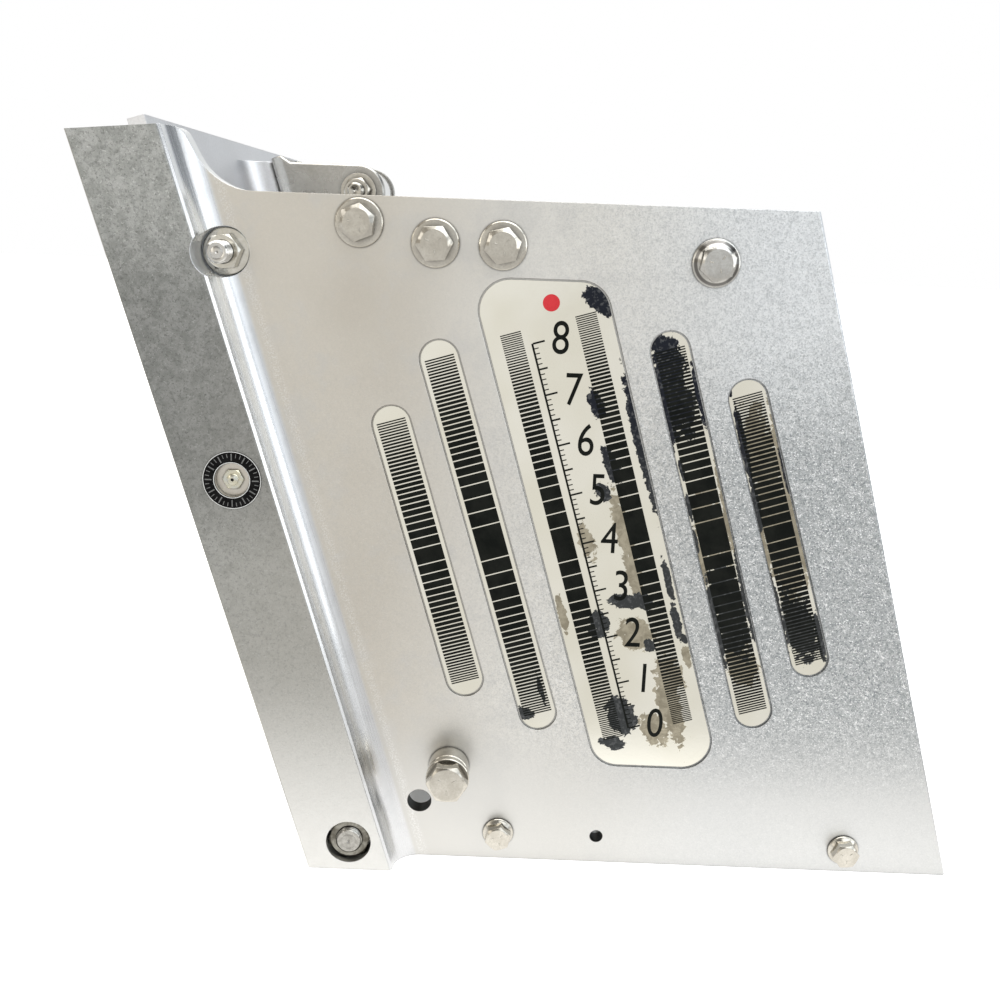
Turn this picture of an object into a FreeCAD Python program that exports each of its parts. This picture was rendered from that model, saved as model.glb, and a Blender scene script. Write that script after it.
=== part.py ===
import FreeCAD, Part
import os
import math

# Hydraulic jack plate for an outboard motor.
# Frame: +X forward, towards the boat's transom. +Y to port. +Z up. Millimetres.
# Origin: middle of the footprint, on the bottom edges of the two side plates.
# Both side plates, the motor plate and the transom flanges lean aft by the
# transom angle, and the motor plate slides along that slant.

V = FreeCAD.Vector

# ---------------------------------------------------------------- dimensions
SLANT = 16.5                      # lean from the vertical, degrees
X_FOOT = -118.6                   # aft edge of the rails where it meets Z = 0
CA, SA = math.cos(math.radians(SLANT)), math.sin(math.radians(SLANT))

Y_RAIL = 206.0                    # outer face of the aft rails
Y_PANEL = 188.8                   # outer face of the thin panels
Y_INNER = 179.3                   # inner face of panels and rails
RAIL_W = 43.6                     # rail width, square to the slant
FILLET_R = 13.8                   # concave fillet between rail and panel
DEPTH = 334.5                     # rail aft face to transom face
FLANGE_T = 12.7                   # transom flange thickness
FLANGE_IN = 103.0                 # inner edge of the transom flanges
Z_PANEL = 351.4                   # top edge of the panels
SWEEP_X, SWEEP_R = -147.0, 29.5   # concave sweep from panel top to rail top
SWEEP_TURN, SHOULDER_R = 62.0, 7.0 # its turn, and the round that ends it
RAIL_TOP_AFT, RAIL_TOP_FWD = 375.8, 380.3

GROOVE_A0, GROOVE_A1 = 26.15, 37.8 # slide groove in each rail
GROOVE_Y, GROOVE_B0 = 200.7, 23.5
LINER_T = 1.5
LINER_B0, LINER_B1 = 24.0, 381.0
TONGUE_A0, TONGUE_A1 = 27.75, 36.2 # motor plate tongue
TONGUE_Y = 199.0
MP_B0, MP_B1 = 30.0, 389.7        # motor plate ends at rest, along the slant
MP_REAR = -1.0                    # rear face: the motor bolts up against it
MP_HALF = 172.0                   # half width of its thick middle
PAD_A, PAD_Y, PAD_B0, PAD_TOP = 55.0, 22.5, 336.0, 372.9   # the pad's top is level

HOLE_R = 6.75                     # for 1/2 inch mounting bolts
UP_Y, LOW_Y, ROW_PITCH = 163.5, 125.4, 203.2   # outboard and transom pattern
MOTOR_UP_B = 325.0                # upper motor holes, along the slant
TRANSOM_UP_B = 217.4              # upper transom holes, along the slant

BOLT7 = dict(d=11.1, af=15.9, fl=23.6, ft=1.9, h=11.2, face=0.82, rise=0.35)   # 7/16 inch flanged
BOLT5 = dict(d=7.94, af=12.5, fl=16.8, ft=1.5, h=8.2, face=0.90, rise=0.9)    # 5/16 inch flanged

B1 = (-95.4, 338.5)
B2 = (-58.4, 330.0)
B3 = (-25.6, 330.0)
TRANSOM_BAR = (77.9, 325.4)
UPPER_ROD = (-160.8, 322.5)
LOWER_ROD = (-97.0, 16.1)
CROSS = (-45.0, 54.6)             # lower pivot of the cylinder
EYE = (-117.0, 357.0)             # pin through the lift bracket, at rest
SPARE_HOLE = (-60.7, 32.9)
SMALL_A, SMALL_B = (-17.1, 15.6), (172.4, 13.2)
SMALL_HOLE = (36.8, 15.5)
GREASE = (-155.4, 212.4)
GREASE_Y = 202.6                  # floor of its recess
POCKET_DEPTH = 1.2
SLOT_R = 10.3
SLOTS = [((-78.5, 240.2), (-38.0, 105.1)), ((-55.2, 273.9), (1.6, 87.4)),
         ((58.8, 282.2), (116.2, 93.1)), ((99.2, 259.9), (143.2, 123.5))]
CENTRE_A0, CENTRE_A1, CENTRE_Z0, CENTRE_Z1, CENTRE_R = 162.5, 227.2, 57.5, 315.0, 16.0

BARREL_R, BORE_R, ROD_R = 28.6, 22.2, 15.9
TRAVEL = 140.0

# ------------------------------------------------------------------ helpers


def pt(a, b):
    """World X and Z of a point a mm forward of the rails' aft face, square
    to the slant, and b mm up along the slant."""
    return X_FOOT + a * CA - b * SA, a * SA + b * CA


def ab(x, z):
    return (x - X_FOOT) * CA + z * SA, -(x - X_FOOT) * SA + z * CA


def to_world(s):
    """Turn a shape built with x = a, z = b into the leaning frame."""
    s = s.copy()
    s.rotate(V(0, 0, 0), V(0, 1, 0), -SLANT)
    s.translate(V(X_FOOT, 0, 0))
    return s


def box(x0, x1, y0, y1, z0, z1):
    return Part.makeBox(x1 - x0, y1 - y0, z1 - z0, V(x0, y0, z0))


def cyl_y(r, y0, y1, x, z):
    """Cylinder along Y between y0 and y1."""
    return Part.makeCylinder(r, y1 - y0, V(x, y0, z), V(0, 1, 0))


def tube_y(ro, ri, y0, y1, x, z):
    return cyl_y(ro, y0, y1, x, z).cut(cyl_y(ri, y0 - 1, y1 + 1, x, z))


def mirror(s):
    return s.mirror(V(0, 0, 0), V(0, 1, 0))


def prism(points, vec):
    w = Part.makePolygon([V(*p) for p in points] + [V(*points[0])])
    return Part.Face(w).extrude(V(*vec))


def wire_face(edges):
    return Part.Face(Part.Wire(Part.__sortEdges__(edges)))


def hexagon(af, h, z0=0.0, turn=0.0):
    r = af / math.sqrt(3.0)
    pts = [(r * math.cos(math.radians(60 * i + turn)), r * math.sin(math.radians(60 * i + turn)), z0)
           for i in range(6)]
    return prism(pts, (0, 0, h))


def chamfer_cone(af, z_top, drop, face):
    """Body that rounds the corners of a hex head off, as on turned heads."""
    r0 = af / 2.0 * face
    r1 = r0 + drop / math.tan(math.radians(30.0))
    lo = Part.makeCylinder(r1, 60.0, V(0, 0, z_top - drop - 60.0))
    return lo.fuse(Part.makeCone(r1, r0, drop, V(0, 0, z_top - drop)))


def hex_head(af, h, turn=0.0, z0=0.0, both=False, face=0.97):
    drop = (1.16 - face) * af * 0.5 * 0.5774
    s = hexagon(af, h, z0, turn).common(chamfer_cone(af, z0 + h, drop, face))
    if both:
        low = chamfer_cone(af, h, drop, face).mirror(V(0, 0, h / 2.0), V(0, 0, 1))
        low.translate(V(0, 0, z0))
        s = s.common(low)
    return s


def flange_disc(r, t, af, rise):
    """Washer face under a hex, with a rounded rim, rising towards the hex."""
    e = [V(0, 0, 0), V(r - 0.3, 0, 0), V(r, 0, 0.3), V(r, 0, t * 0.6), V(r - 0.25, 0, t * 0.85), V(r - 0.7, 0, t),
         V(af * 0.5, 0, t + rise), V(0, 0, t + rise)]
    w = Part.makePolygon(e + [e[0]])
    return Part.Face(w).revolve(V(0, 0, 0), V(0, 0, 1), 360)


def shank(d, length, z_top=0.0, tip=0.8):
    r = d / 2.0
    s = Part.makeCylinder(r, length - tip, V(0, 0, z_top - length + tip))
    return s.fuse(Part.makeCone(r - tip * 0.8, r, tip, V(0, 0, z_top - length)))


def flanged_bolt(p, length, turn=0.0):
    """Head on +Z, its seat on z = 0, shank down to -length."""
    s = flange_disc(p["fl"] / 2, p["ft"], p["af"], p["rise"])
    s = s.fuse(hex_head(p["af"], p["h"], turn, face=p["face"]))
    return s.fuse(shank(p["d"], length)).removeSplitter()


def flanged_nut(p, turn=0.0, h=None):
    h = h or p["h"]
    s = flange_disc(p["fl"] / 2, p["ft"], p["af"], p["rise"]).fuse(hex_head(p["af"], h, turn))
    s = s.cut(Part.makeCylinder(p["d"] / 2, 60, V(0, 0, -20)))
    s = s.cut(Part.makeCone(p["d"] / 2 + 0.9, p["d"] / 2, 0.9, V(0, 0, h - 0.9)))
    return s.removeSplitter()


def plain_nut(d, af, h, turn=0.0):
    s = hex_head(af, h, turn, both=True)
    return s.cut(Part.makeCylinder(d / 2, 60, V(0, 0, -20)))


def place_y(s, x, z, y, side):
    """Put a shape built along +Z so that its +Z points outwards along Y.
    side -1 is starboard, +1 is port; y is the seat's distance from the middle."""
    s = s.copy()
    if side < 0:
        s.rotate(V(0, 0, 0), V(1, 0, 0), 90)      # +Z -> -Y
        s.translate(V(x, -y, z))
    else:
        s.rotate(V(0, 0, 0), V(1, 0, 0), -90)     # +Z -> +Y
        s.translate(V(x, y, z))
    return s


def stud(d, half, tip=1.2):
    """Straight stud along Z, centred, with turned ends."""
    r = d / 2.0
    s = Part.makeCylinder(r, 2 * half - 2 * tip, V(0, 0, -half + tip))
    s = s.fuse(Part.makeCone(r - tip * 0.7, r, tip, V(0, 0, -half)))
    return s.fuse(Part.makeCone(r, r - tip * 0.7, tip, V(0, 0, half - tip))).removeSplitter()


def save(name, shapes):
    if not isinstance(shapes, (list, tuple)):
        shapes = [shapes]
    solids = []
    for s in shapes:
        solids += s.Solids
    out = solids[0] if len(solids) == 1 else Part.makeCompound(solids)
    if not out.isValid():
        print("NOT VALID", name)
    out.exportStep("parts/%s.step" % name)


os.makedirs("parts", exist_ok=True)

# ------------------------------------------------------------- side plates
# One section along the slant: rail, fillet, panel, flange. The slide groove is
# milled from the top and stops above the lower tie rod.


def side_section():
    f = FILLET_R
    cx, cy = RAIL_W + f, Y_PANEL + f
    c45 = math.cos(math.radians(45))
    g = 3.0
    pts = [
        (0, Y_INNER), (0, Y_RAIL - 0.8), (0.8, Y_RAIL), (RAIL_W - 1.7, Y_RAIL), (RAIL_W, Y_RAIL - 1.7),
        (RAIL_W, cy)]
    e = [Part.makeLine(V(*pts[i], 0), V(*pts[i + 1], 0)) for i in range(len(pts) - 1)]
    e.append(Part.Arc(V(RAIL_W, cy, 0), V(cx - f * c45, cy - f * c45, 0), V(cx, Y_PANEL, 0)).toShape())
    rest = [(cx, Y_PANEL), (DEPTH - 1.0, Y_PANEL), (DEPTH, Y_PANEL - 1.0), (DEPTH, FLANGE_IN + 1.0),
            (DEPTH - 1.0, FLANGE_IN), (DEPTH - FLANGE_T + 1.0, FLANGE_IN),
            (DEPTH - FLANGE_T, FLANGE_IN + 1.0), (DEPTH - FLANGE_T, Y_INNER - g)]
    e += [Part.makeLine(V(*rest[i], 0), V(*rest[i + 1], 0)) for i in range(len(rest) - 1)]
    gx = DEPTH - FLANGE_T
    e.append(Part.Arc(V(gx, Y_INNER - g, 0), V(gx - g + g * c45, Y_INNER - g + g * c45, 0),
                      V(gx - g, Y_INNER, 0)).toShape())
    tail = [(gx - g, Y_INNER), (0, Y_INNER)]
    e += [Part.makeLine(V(*tail[i], 0), V(*tail[i + 1], 0)) for i in range(len(tail) - 1)]
    return wire_face(e)


def side_outline():
    """Side view of a side plate, as a solid that the section is cut to."""
    x_tr = pt(DEPTH, 0)[0] + pt(DEPTH, 0)[1] * SA / CA          # transom face at Z = 0
    top_fwd_x = x_tr - Z_PANEL * SA / CA
    aft_top_x = X_FOOT - RAIL_TOP_AFT * SA / CA
    cz = Z_PANEL + SWEEP_R
    st, ct = math.sin(math.radians(SWEEP_TURN)), math.cos(math.radians(SWEEP_TURN))
    sh, ch = math.sin(math.radians(SWEEP_TURN / 2)), math.cos(math.radians(SWEEP_TURN / 2))
    slope = (RAIL_TOP_FWD - RAIL_TOP_AFT) / 53.3
    tilt = math.atan(slope)
    r = SHOULDER_R
    # end of the sweep, then the straight run up to the round of the shoulder
    x1, z1 = SWEEP_X - SWEEP_R * st, cz - SWEEP_R * ct
    top0 = RAIL_TOP_AFT - slope * aft_top_x                     # top line: z = top0 + slope x
    dx, dz = -r * st - r * math.sin(tilt), -r * ct + r * math.cos(tilt)
    run = (top0 + slope * (x1 + dx) - z1 - dz) / (st + slope * ct)
    x2, z2 = x1 - run * ct, z1 + run * st
    ox, oz = x2 - r * st, z2 - r * ct                           # centre of the round
    mid = (math.radians(90.0 - SWEEP_TURN) + math.pi / 2 + tilt) / 2
    far = 12.0
    p = [V(X_FOOT - far, 0, 0), V(x_tr + far, 0, 0),
         V(top_fwd_x + far, 0, Z_PANEL), V(SWEEP_X, 0, Z_PANEL)]
    e = [Part.makeLine(p[0], p[1]), Part.makeLine(p[1], p[2]), Part.makeLine(p[2], p[3])]
    e.append(Part.Arc(p[3], V(SWEEP_X - SWEEP_R * sh, 0, cz - SWEEP_R * ch), V(x1, 0, z1)).toShape())
    e.append(Part.makeLine(V(x1, 0, z1), V(x2, 0, z2)))
    q = V(x2 + dx, 0, z2 + dz)
    e.append(Part.Arc(V(x2, 0, z2), V(ox + r * math.cos(mid), 0, oz + r * math.sin(mid)), q).toShape())
    a = V(aft_top_x - far, 0, RAIL_TOP_AFT - slope * far)
    e += [Part.makeLine(q, a), Part.makeLine(a, p[0])]
    s = wire_face(e).extrude(V(0, 150, 0))
    s.translate(V(0, 80, 0))
    return s


def slot_solid(c0, c1, r, y0, y1):
    s = cyl_y(r, y0, y1, *c0).fuse(cyl_y(r, y0, y1, *c1))
    dx, dz = c1[0] - c0[0], c1[1] - c0[1]
    n = math.hypot(dx, dz)
    nx, nz = -dz / n * r, dx / n * r
    mid = prism([(c0[0] + nx, y0, c0[1] + nz), (c1[0] + nx, y0, c1[1] + nz),
                 (c1[0] - nx, y0, c1[1] - nz), (c0[0] - nx, y0, c0[1] - nz)], (0, y1 - y0, 0))
    return s.fuse(mid).removeSplitter()


def centre_solid(inset, y0, y1):
    def xz(a, z):
        return ((a - z * SA) / CA + X_FOOT, z)
    a0, a1 = CENTRE_A0 + inset, CENTRE_A1 - inset
    z0, z1 = CENTRE_Z0 + inset, CENTRE_Z1 - inset
    c = [xz(a0, z0), xz(a1, z0), xz(a1, z1), xz(a0, z1)]
    s = prism([(x, y0, z) for x, z in c], (0, y1 - y0, 0))
    ed = [e for e in s.Edges if abs(e.Vertexes[0].Point.y - e.Vertexes[-1].Point.y) > 1e-6
          and abs(e.Vertexes[0].Point.x - e.Vertexes[-1].Point.x) < 1e-6]
    return s.makeFillet(CENTRE_R - inset, ed)


section = side_section()
plate = section.extrude(V(0, 0, 620))
plate.translate(V(0, 0, -140))
plate = to_world(plate)
plate = plate.common(side_outline())

cuts = [to_world(box(GROOVE_A0, GROOVE_A1, Y_INNER - 5, GROOVE_Y, GROOVE_B0, 480))]
for x, z in (B1, B2, B3, TRANSOM_BAR):
    cuts.append(cyl_y(BOLT7["d"] / 2 + 0.25, 150, 230, x, z))
cuts.append(cyl_y(5.8, 150, 230, *UPPER_ROD))
cuts.append(cyl_y(12.2, 184.0, 230, *UPPER_ROD))            # counterbore
cuts.append(cyl_y(7.4, 150, 230, *LOWER_ROD))
cuts.append(cyl_y(12.0, 195.4, 230, *LOWER_ROD))            # counterbore
cuts.append(cyl_y(6.6, 150, 230, *CROSS))
cuts.append(cyl_y(6.5, 150, 230, *SPARE_HOLE))
for x, z in (SMALL_A, SMALL_B):
    cuts.append(cyl_y(BOLT5["d"] / 2 + 0.2, 150, 230, x, z))
cuts.append(cyl_y(3.5, 150, 230, *SMALL_HOLE))
cuts.append(cyl_y(8.6, GREASE_Y, 230, *GREASE))                # recess for the grease fitting
cuts.append(cyl_y(2.9, 190.0, 230, *GREASE))
for c0, c1 in SLOTS:
    cuts.append(slot_solid(c0, c1, SLOT_R, Y_PANEL - POCKET_DEPTH, 200))
cuts.append(centre_solid(0.0, Y_PANEL - POCKET_DEPTH, 200))
for y, b in ((UP_Y, TRANSOM_UP_B), (LOW_Y, TRANSOM_UP_B - ROW_PITCH)):
    c = Part.makeCylinder(HOLE_R, 60, V(DEPTH - 40, y, b), V(1, 0, 0))
    cuts.append(to_world(c))
for c in cuts:
    plate = plate.cut(c)
port_plate = plate
star_plate = mirror(plate)
save("side_plate_port", port_plate)
save("side_plate_starboard", star_plate)

# ------------------------------------------------------------ slide liners
liner = box(GROOVE_A0, GROOVE_A1, Y_INNER, GROOVE_Y, LINER_B0, LINER_B1)
liner = liner.cut(box(GROOVE_A0 + LINER_T, GROOVE_A1 - LINER_T, Y_INNER - 1, GROOVE_Y - LINER_T,
                      LINER_B0 - 1, LINER_B1 + 1))
liner = to_world(liner)
liner = liner.common(side_outline())
liner = liner.cut(cyl_y(2.95, 170, 210, *GREASE))
save("slide_liner_port", liner)
save("slide_liner_starboard", mirror(liner))

# -------------------------------------------------------------- motor plate
mp = box(MP_REAR, TONGUE_A1, -MP_HALF, MP_HALF, MP_B0, MP_B1)
edges = [e for e in mp.Edges if abs(e.Vertexes[0].Point.z - e.Vertexes[-1].Point.z) > 10
         and e.Vertexes[0].Point.x < 0]
mp = mp.makeFillet(4.0, edges)
mp = mp.fuse(box(TONGUE_A0, TONGUE_A1, -TONGUE_Y, TONGUE_Y, MP_B0, MP_B1))
# raised pad for the lift bracket, with a fillet at its foot
BRACKET_BOLT_Y, BRACKET_BOLT_B = 12.0, 352.0
pf, pr = 13.0, 4.5                # foot fillet, rounding of its forward corners
c45 = math.cos(math.radians(45))


def pad_half(sign):
    y1 = PAD_Y
    a = TONGUE_A1
    e = [Part.makeLine(V(a - 1, 0, 0), V(a - 1, sign * (y1 + pf), 0)),
         Part.makeLine(V(a - 1, sign * (y1 + pf), 0), V(a, sign * (y1 + pf), 0)),
         Part.Arc(V(a, sign * (y1 + pf), 0), V(a + pf - pf * c45, sign * (y1 + pf - pf * c45), 0),
                  V(a + pf, sign * y1, 0)).toShape(),
         Part.makeLine(V(a + pf, sign * y1, 0), V(PAD_A - pr, sign * y1, 0)),
         Part.Arc(V(PAD_A - pr, sign * y1, 0), V(PAD_A - pr + pr * c45, sign * (y1 - pr + pr * c45), 0),
                  V(PAD_A, sign * (y1 - pr), 0)).toShape(),
         Part.makeLine(V(PAD_A, sign * (y1 - pr), 0), V(PAD_A, 0, 0)),
         Part.makeLine(V(PAD_A, 0, 0), V(a - 1, 0, 0))]
    s = wire_face(e).extrude(V(0, 0, 60.0))
    s.translate(V(0, 0, PAD_B0))
    return s


pad = to_world(pad_half(1).fuse(pad_half(-1))).cut(box(-300, 0, -60, 60, PAD_TOP, 500))
pad.translate(V(-X_FOOT, 0, 0))
pad.rotate(V(0, 0, 0), V(0, 1, 0), SLANT)
mp = mp.fuse(pad).removeSplitter()
# lightening pockets in the forward face


def pocket(y0, y1, b0, b1, r):
    s = box(13.0, TONGUE_A1 + 5, y0, y1, b0, b1)
    ed = [e for e in s.Edges if abs(e.Vertexes[0].Point.x - e.Vertexes[-1].Point.x) > 5]
    return s.makeFillet(r, ed)


for sgn in (1, -1):
    for (y0, y1, b0, b1, r) in ((33, 75, 52, 300, 10), (81, 105, 52, 300, 10), (112, 156, 150, 296, 12),
                                (112, 156, 52, 94, 10)):
        lo, hi = (y0, y1) if sgn > 0 else (-y1, -y0)
        mp = mp.cut(pocket(lo, hi, b0, b1, r))
    for y, b in ((UP_Y, MOTOR_UP_B), (LOW_Y, MOTOR_UP_B - ROW_PITCH)):
        mp = mp.cut(Part.makeCylinder(HOLE_R, 80, V(-20, sgn * y, b), V(1, 0, 0)))
    # threaded holes for the bracket bolts
    mp = mp.cut(Part.makeCylinder(6.35, 40, V(22, sgn * BRACKET_BOLT_Y, BRACKET_BOLT_B), V(1, 0, 0)))
save("motor_plate", to_world(mp))

# -------------------------------------------------------------- lift bracket
EAR_Y0, EAR_Y1 = 26.0, 32.0
ex, ez = EYE
EAR_R = 15.7
web_t = 6.0
bend = 8.0
# web with bent corners, then the two ears
wa0, wa1 = PAD_A, PAD_A + web_t


def u_section():
    o, i = EAR_Y1, EAR_Y0
    e = []
    a_end = 130.0
    ri = bend - web_t
    e.append(Part.makeLine(V(wa0, -(o - bend), 0), V(wa0, o - bend, 0)))
    for s in (1, -1):
        e.append(Part.Arc(V(wa0, s * (o - bend), 0),
                          V(wa0 + bend - bend * c45, s * (o - bend + bend * c45), 0),
                          V(wa0 + bend, s * o, 0)).toShape())
        e.append(Part.makeLine(V(wa0 + bend, s * o, 0), V(a_end, s * o, 0)))
        e.append(Part.makeLine(V(a_end, s * o, 0), V(a_end, s * i, 0)))
        e.append(Part.makeLine(V(a_end, s * i, 0), V(wa1 + ri, s * i, 0)))
        e.append(Part.Arc(V(wa1 + ri, s * i, 0), V(wa1 + ri - ri * c45, s * (i - ri + ri * c45), 0),
                          V(wa1, s * (i - ri), 0)).toShape())
    e.append(Part.makeLine(V(wa1, -(i - ri), 0), V(wa1, i - ri, 0)))
    s = wire_face(e).extrude(V(0, 0, 80))
    s.translate(V(0, 0, 320))
    return to_world(s)


def ear_outline():
    """Side view of the bracket: the web's full height, ears with a round end."""
    top = ez + EAR_R
    w0 = pt(wa0 - 4, 334.0)
    w1 = pt(wa0 - 4, 374.0)
    w2 = pt(wa1 + 1.5, 374.0)
    w3x = w2[0] + 6.0
    lowa = pt(wa1 + 3.0, 334.0)
    # lower tangent from the round end to the web's foot
    dx, dz = lowa[0] - ex, lowa[1] - ez
    d = math.hypot(dx, dz)
    th = math.atan2(dz, dx)
    be = math.acos(EAR_R / d)
    t = th + be
    tx, tz = ex + EAR_R * math.cos(t), ez + EAR_R * math.sin(t)
    m = (t + math.pi / 2.0) / 2.0
    mx, mz = ex + EAR_R * math.cos(m), ez + EAR_R * math.sin(m)
    P = [V(w0[0], 0, w0[1]), V(w1[0], 0, w1[1]), V(w2[0], 0, w2[1]), V(w3x, 0, top), V(ex, 0, top)]
    e = [Part.makeLine(P[i], P[i + 1]) for i in range(4)]
    e.append(Part.Arc(P[4], V(mx, 0, mz), V(tx, 0, tz)).toShape())
    e.append(Part.makeLine(V(tx, 0, tz), V(lowa[0], 0, lowa[1])))
    e.append(Part.makeLine(V(lowa[0], 0, lowa[1]), P[0]))
    s = wire_face(e).extrude(V(0, 2 * EAR_Y1, 0))
    s.translate(V(0, -EAR_Y1, 0))
    rims = [ed for ed in s.Edges if abs(ed.CenterOfMass.y) > EAR_Y1 - 0.01]
    return s.makeChamfer(1.0, rims)


bracket = u_section().common(ear_outline())
bracket = bracket.cut(cyl_y(4.9, -60, 60, ex, ez))
for sgn in (1, -1):
    bracket = bracket.cut(to_world(Part.makeCylinder(6.6, 30, V(45, sgn * BRACKET_BOLT_Y, BRACKET_BOLT_B), V(1, 0, 0))))
save("lift_bracket", bracket)

bolts = []
for sgn in (1, -1):
    s = hex_head(15.9, 7.2, 30.0).fuse(shank(12.7, 30.0)).removeSplitter()
    s.rotate(V(0, 0, 0), V(0, 1, 0), 90)          # +Z -> +X, the head forward
    s.translate(V(wa1, sgn * BRACKET_BOLT_Y, BRACKET_BOLT_B))
    bolts.append(to_world(s))
save("lift_bracket_bolts", bolts)

# pin bolt: head on the port ear, locking nut on the starboard ear
pin_len = 2 * EAR_Y1 + 2 * 2.2 + 15.5
pin = hex_head(14.3, 6.2, 10.0).fuse(shank(9.53, pin_len, 0.0, 1.0)).removeSplitter()
save("bracket_pin_bolt", place_y(pin, ex, ez, EAR_Y1 + 2.2, 1))
save("bracket_pin_washers", [tube_y(10.7, 4.95, EAR_Y1, EAR_Y1 + 2.2, ex, ez),
                             tube_y(10.7, 4.95, -EAR_Y1 - 2.2, -EAR_Y1, ex, ez)])
nut = hex_head(14.3, 7.2, 10.0, face=0.95).fuse(Part.makeCylinder(6.9, 2.2, V(0, 0, 6.4)))
nut = nut.cut(Part.makeCylinder(9.53 / 2, 40, V(0, 0, -10))).removeSplitter()
save("bracket_pin_nut", place_y(nut, ex, ez, EAR_Y1 + 2.2, -1))
SLEEVE_R = 7.94
save("bracket_pin_sleeve", tube_y(SLEEVE_R, 4.9, -EAR_Y0, EAR_Y0, ex, ez))

# ---------------------------------------------------------- hydraulic cylinder
# Built upright with the lower pivot at the origin, then leaned to the eye.
cx0, cz0 = CROSS
LEN = math.hypot(ex - cx0, ez - cz0)
LEAN = math.degrees(math.atan2(-(ex - cx0), ez - cz0))      # aft lean


def to_cyl(s):
    s = s.copy()
    s.rotate(V(0, 0, 0), V(0, 1, 0), -LEAN)
    s.translate(V(cx0, 0, cz0))
    return s


def ring_z(ro, ri, z0, z1):
    return Part.makeCylinder(ro, z1 - z0, V(0, 0, z0)).cut(Part.makeCylinder(ri, z1 - z0 + 2, V(0, 0, z0 - 1)))


def tube0(ro, ri, y0, y1, z=0.0):
    return cyl_y(ro, y0, y1, 0, z).cut(cyl_y(ri, y0 - 1, y1 + 1, 0, z))


EYE_W = 32.0
barrel = cyl_y(22.0, -EYE_W, EYE_W, 0, 0)
barrel = barrel.fuse(Part.makeCone(22.0, BARREL_R, 10.0, V(0, 0, 16.0)))
barrel = barrel.fuse(Part.makeCylinder(BARREL_R, 250.0 - 26.0, V(0, 0, 26.0)))
# port bosses on the forward side
for zp in (58.0, 214.0):
    barrel = barrel.fuse(Part.makeCylinder(10.5, BARREL_R + 5.0, V(0, 0, zp), V(1, 0, 0)))
barrel = barrel.cut(Part.makeCylinder(BORE_R, 300.0, V(0, 0, 46.0)))
for zp in (58.0, 214.0):
    barrel = barrel.cut(Part.makeCylinder(6.6, 30.0, V(BARREL_R - 5.0, 0, zp), V(1, 0, 0)))
    barrel = barrel.cut(Part.makeCylinder(2.5, 30.0, V(12.0, 0, zp), V(1, 0, 0)))
barrel = barrel.cut(cyl_y(15.9, -60, 60, 0, 0))
barrel = barrel.cut(Part.makeCylinder(2.9, 30, V(22.0 - 8.0, -2.0 * 0, 0), V(1, 0, 0)))
save("cylinder_barrel", to_cyl(barrel.removeSplitter()))
save("cylinder_eye_bushes", [to_cyl(tube0(15.9, 12.78, 6.0, EYE_W)), to_cyl(tube0(15.9, 12.78, -EYE_W, -6.0))])

gland = ring_z(BORE_R - 0.06, ROD_R + 0.08, 228.0, 250.0).fuse(ring_z(BARREL_R - 0.6, ROD_R + 0.08, 250.0, 262.0))
gland = gland.cut(ring_z(ROD_R + 3.5, ROD_R - 1, 256.0, 263.0))      # wiper seat
gland = gland.cut(ring_z(ROD_R + 3.0, ROD_R - 1, 238.0, 243.0))      # rod seal seat
for k in range(2):
    ang = math.radians(45 + 180 * k)
    gland = gland.cut(Part.makeCylinder(2.2, 4.0, V(22.6 * math.cos(ang), 22.6 * math.sin(ang), 258.5)))
save("cylinder_gland", to_cyl(gland.removeSplitter()))
save("rod_wiper", to_cyl(ring_z(ROD_R + 3.5, ROD_R + 0.05, 256.0, 262.0).fuse(
    ring_z(ROD_R + 2.2, ROD_R + 0.05, 262.0, 263.6))))
save("rod_seal", to_cyl(ring_z(ROD_R + 3.0, ROD_R + 0.05, 238.0, 243.0)))

rod_eye_r, neck_r = 14.4, 12.5
rod = Part.makeCylinder(ROD_R, LEN - 25.0 - 86.0, V(0, 0, 86.0))
rod = rod.fuse(Part.makeCylinder(9.5, 36.5, V(0, 0, 50.0)))
rod = rod.fuse(Part.makeCone(ROD_R, neck_r, 5.0, V(0, 0, LEN - 25.0)))
rod = rod.fuse(Part.makeCylinder(neck_r, 20.0, V(0, 0, LEN - 20.0)))
rod = rod.fuse(cyl_y(rod_eye_r, -25.0, 25.0, 0, LEN))
rod = rod.cut(cyl_y(11.0, -60, 60, 0, LEN))
save("cylinder_rod", to_cyl(rod.removeSplitter()))
save("rod_eye_bush", to_cyl(tube0(11.0, SLEEVE_R + 0.6, -25.0, 25.0, LEN)))
piston = ring_z(BORE_R - 0.1, 9.55, 62.0, 86.0).cut(ring_z(BORE_R + 1, BORE_R - 3.0, 71.0, 77.0))
save("cylinder_piston", to_cyl(piston))
save("piston_seal", to_cyl(ring_z(BORE_R - 0.05, BORE_R - 3.0, 71.0, 77.0)))
pn = hexagon(28.6, 12.0, 50.0).cut(Part.makeCylinder(9.55, 40, V(0, 0, 40)))
save("piston_nut", to_cyl(pn))

fits = []
for zp in (58.0, 214.0):
    f = hex_head(19.0, 8.0, 30.0).fuse(Part.makeCylinder(6.6, 9.8, V(0, 0, -9.8)))
    f = f.fuse(Part.makeCylinder(7.2, 9.0, V(0, 0, 8.0)))
    f = f.fuse(Part.makeCone(7.2, 5.2, 3.0, V(0, 0, 17.0)))
    f = f.cut(Part.makeCylinder(3.2, 60, V(0, 0, -20))).removeSplitter()
    f.rotate(V(0, 0, 0), V(0, 1, 0), 90)
    f.translate(V(BARREL_R + 5.0, 0, zp))
    fits.append(to_cyl(f))
save("hose_port_fittings", fits)

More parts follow.
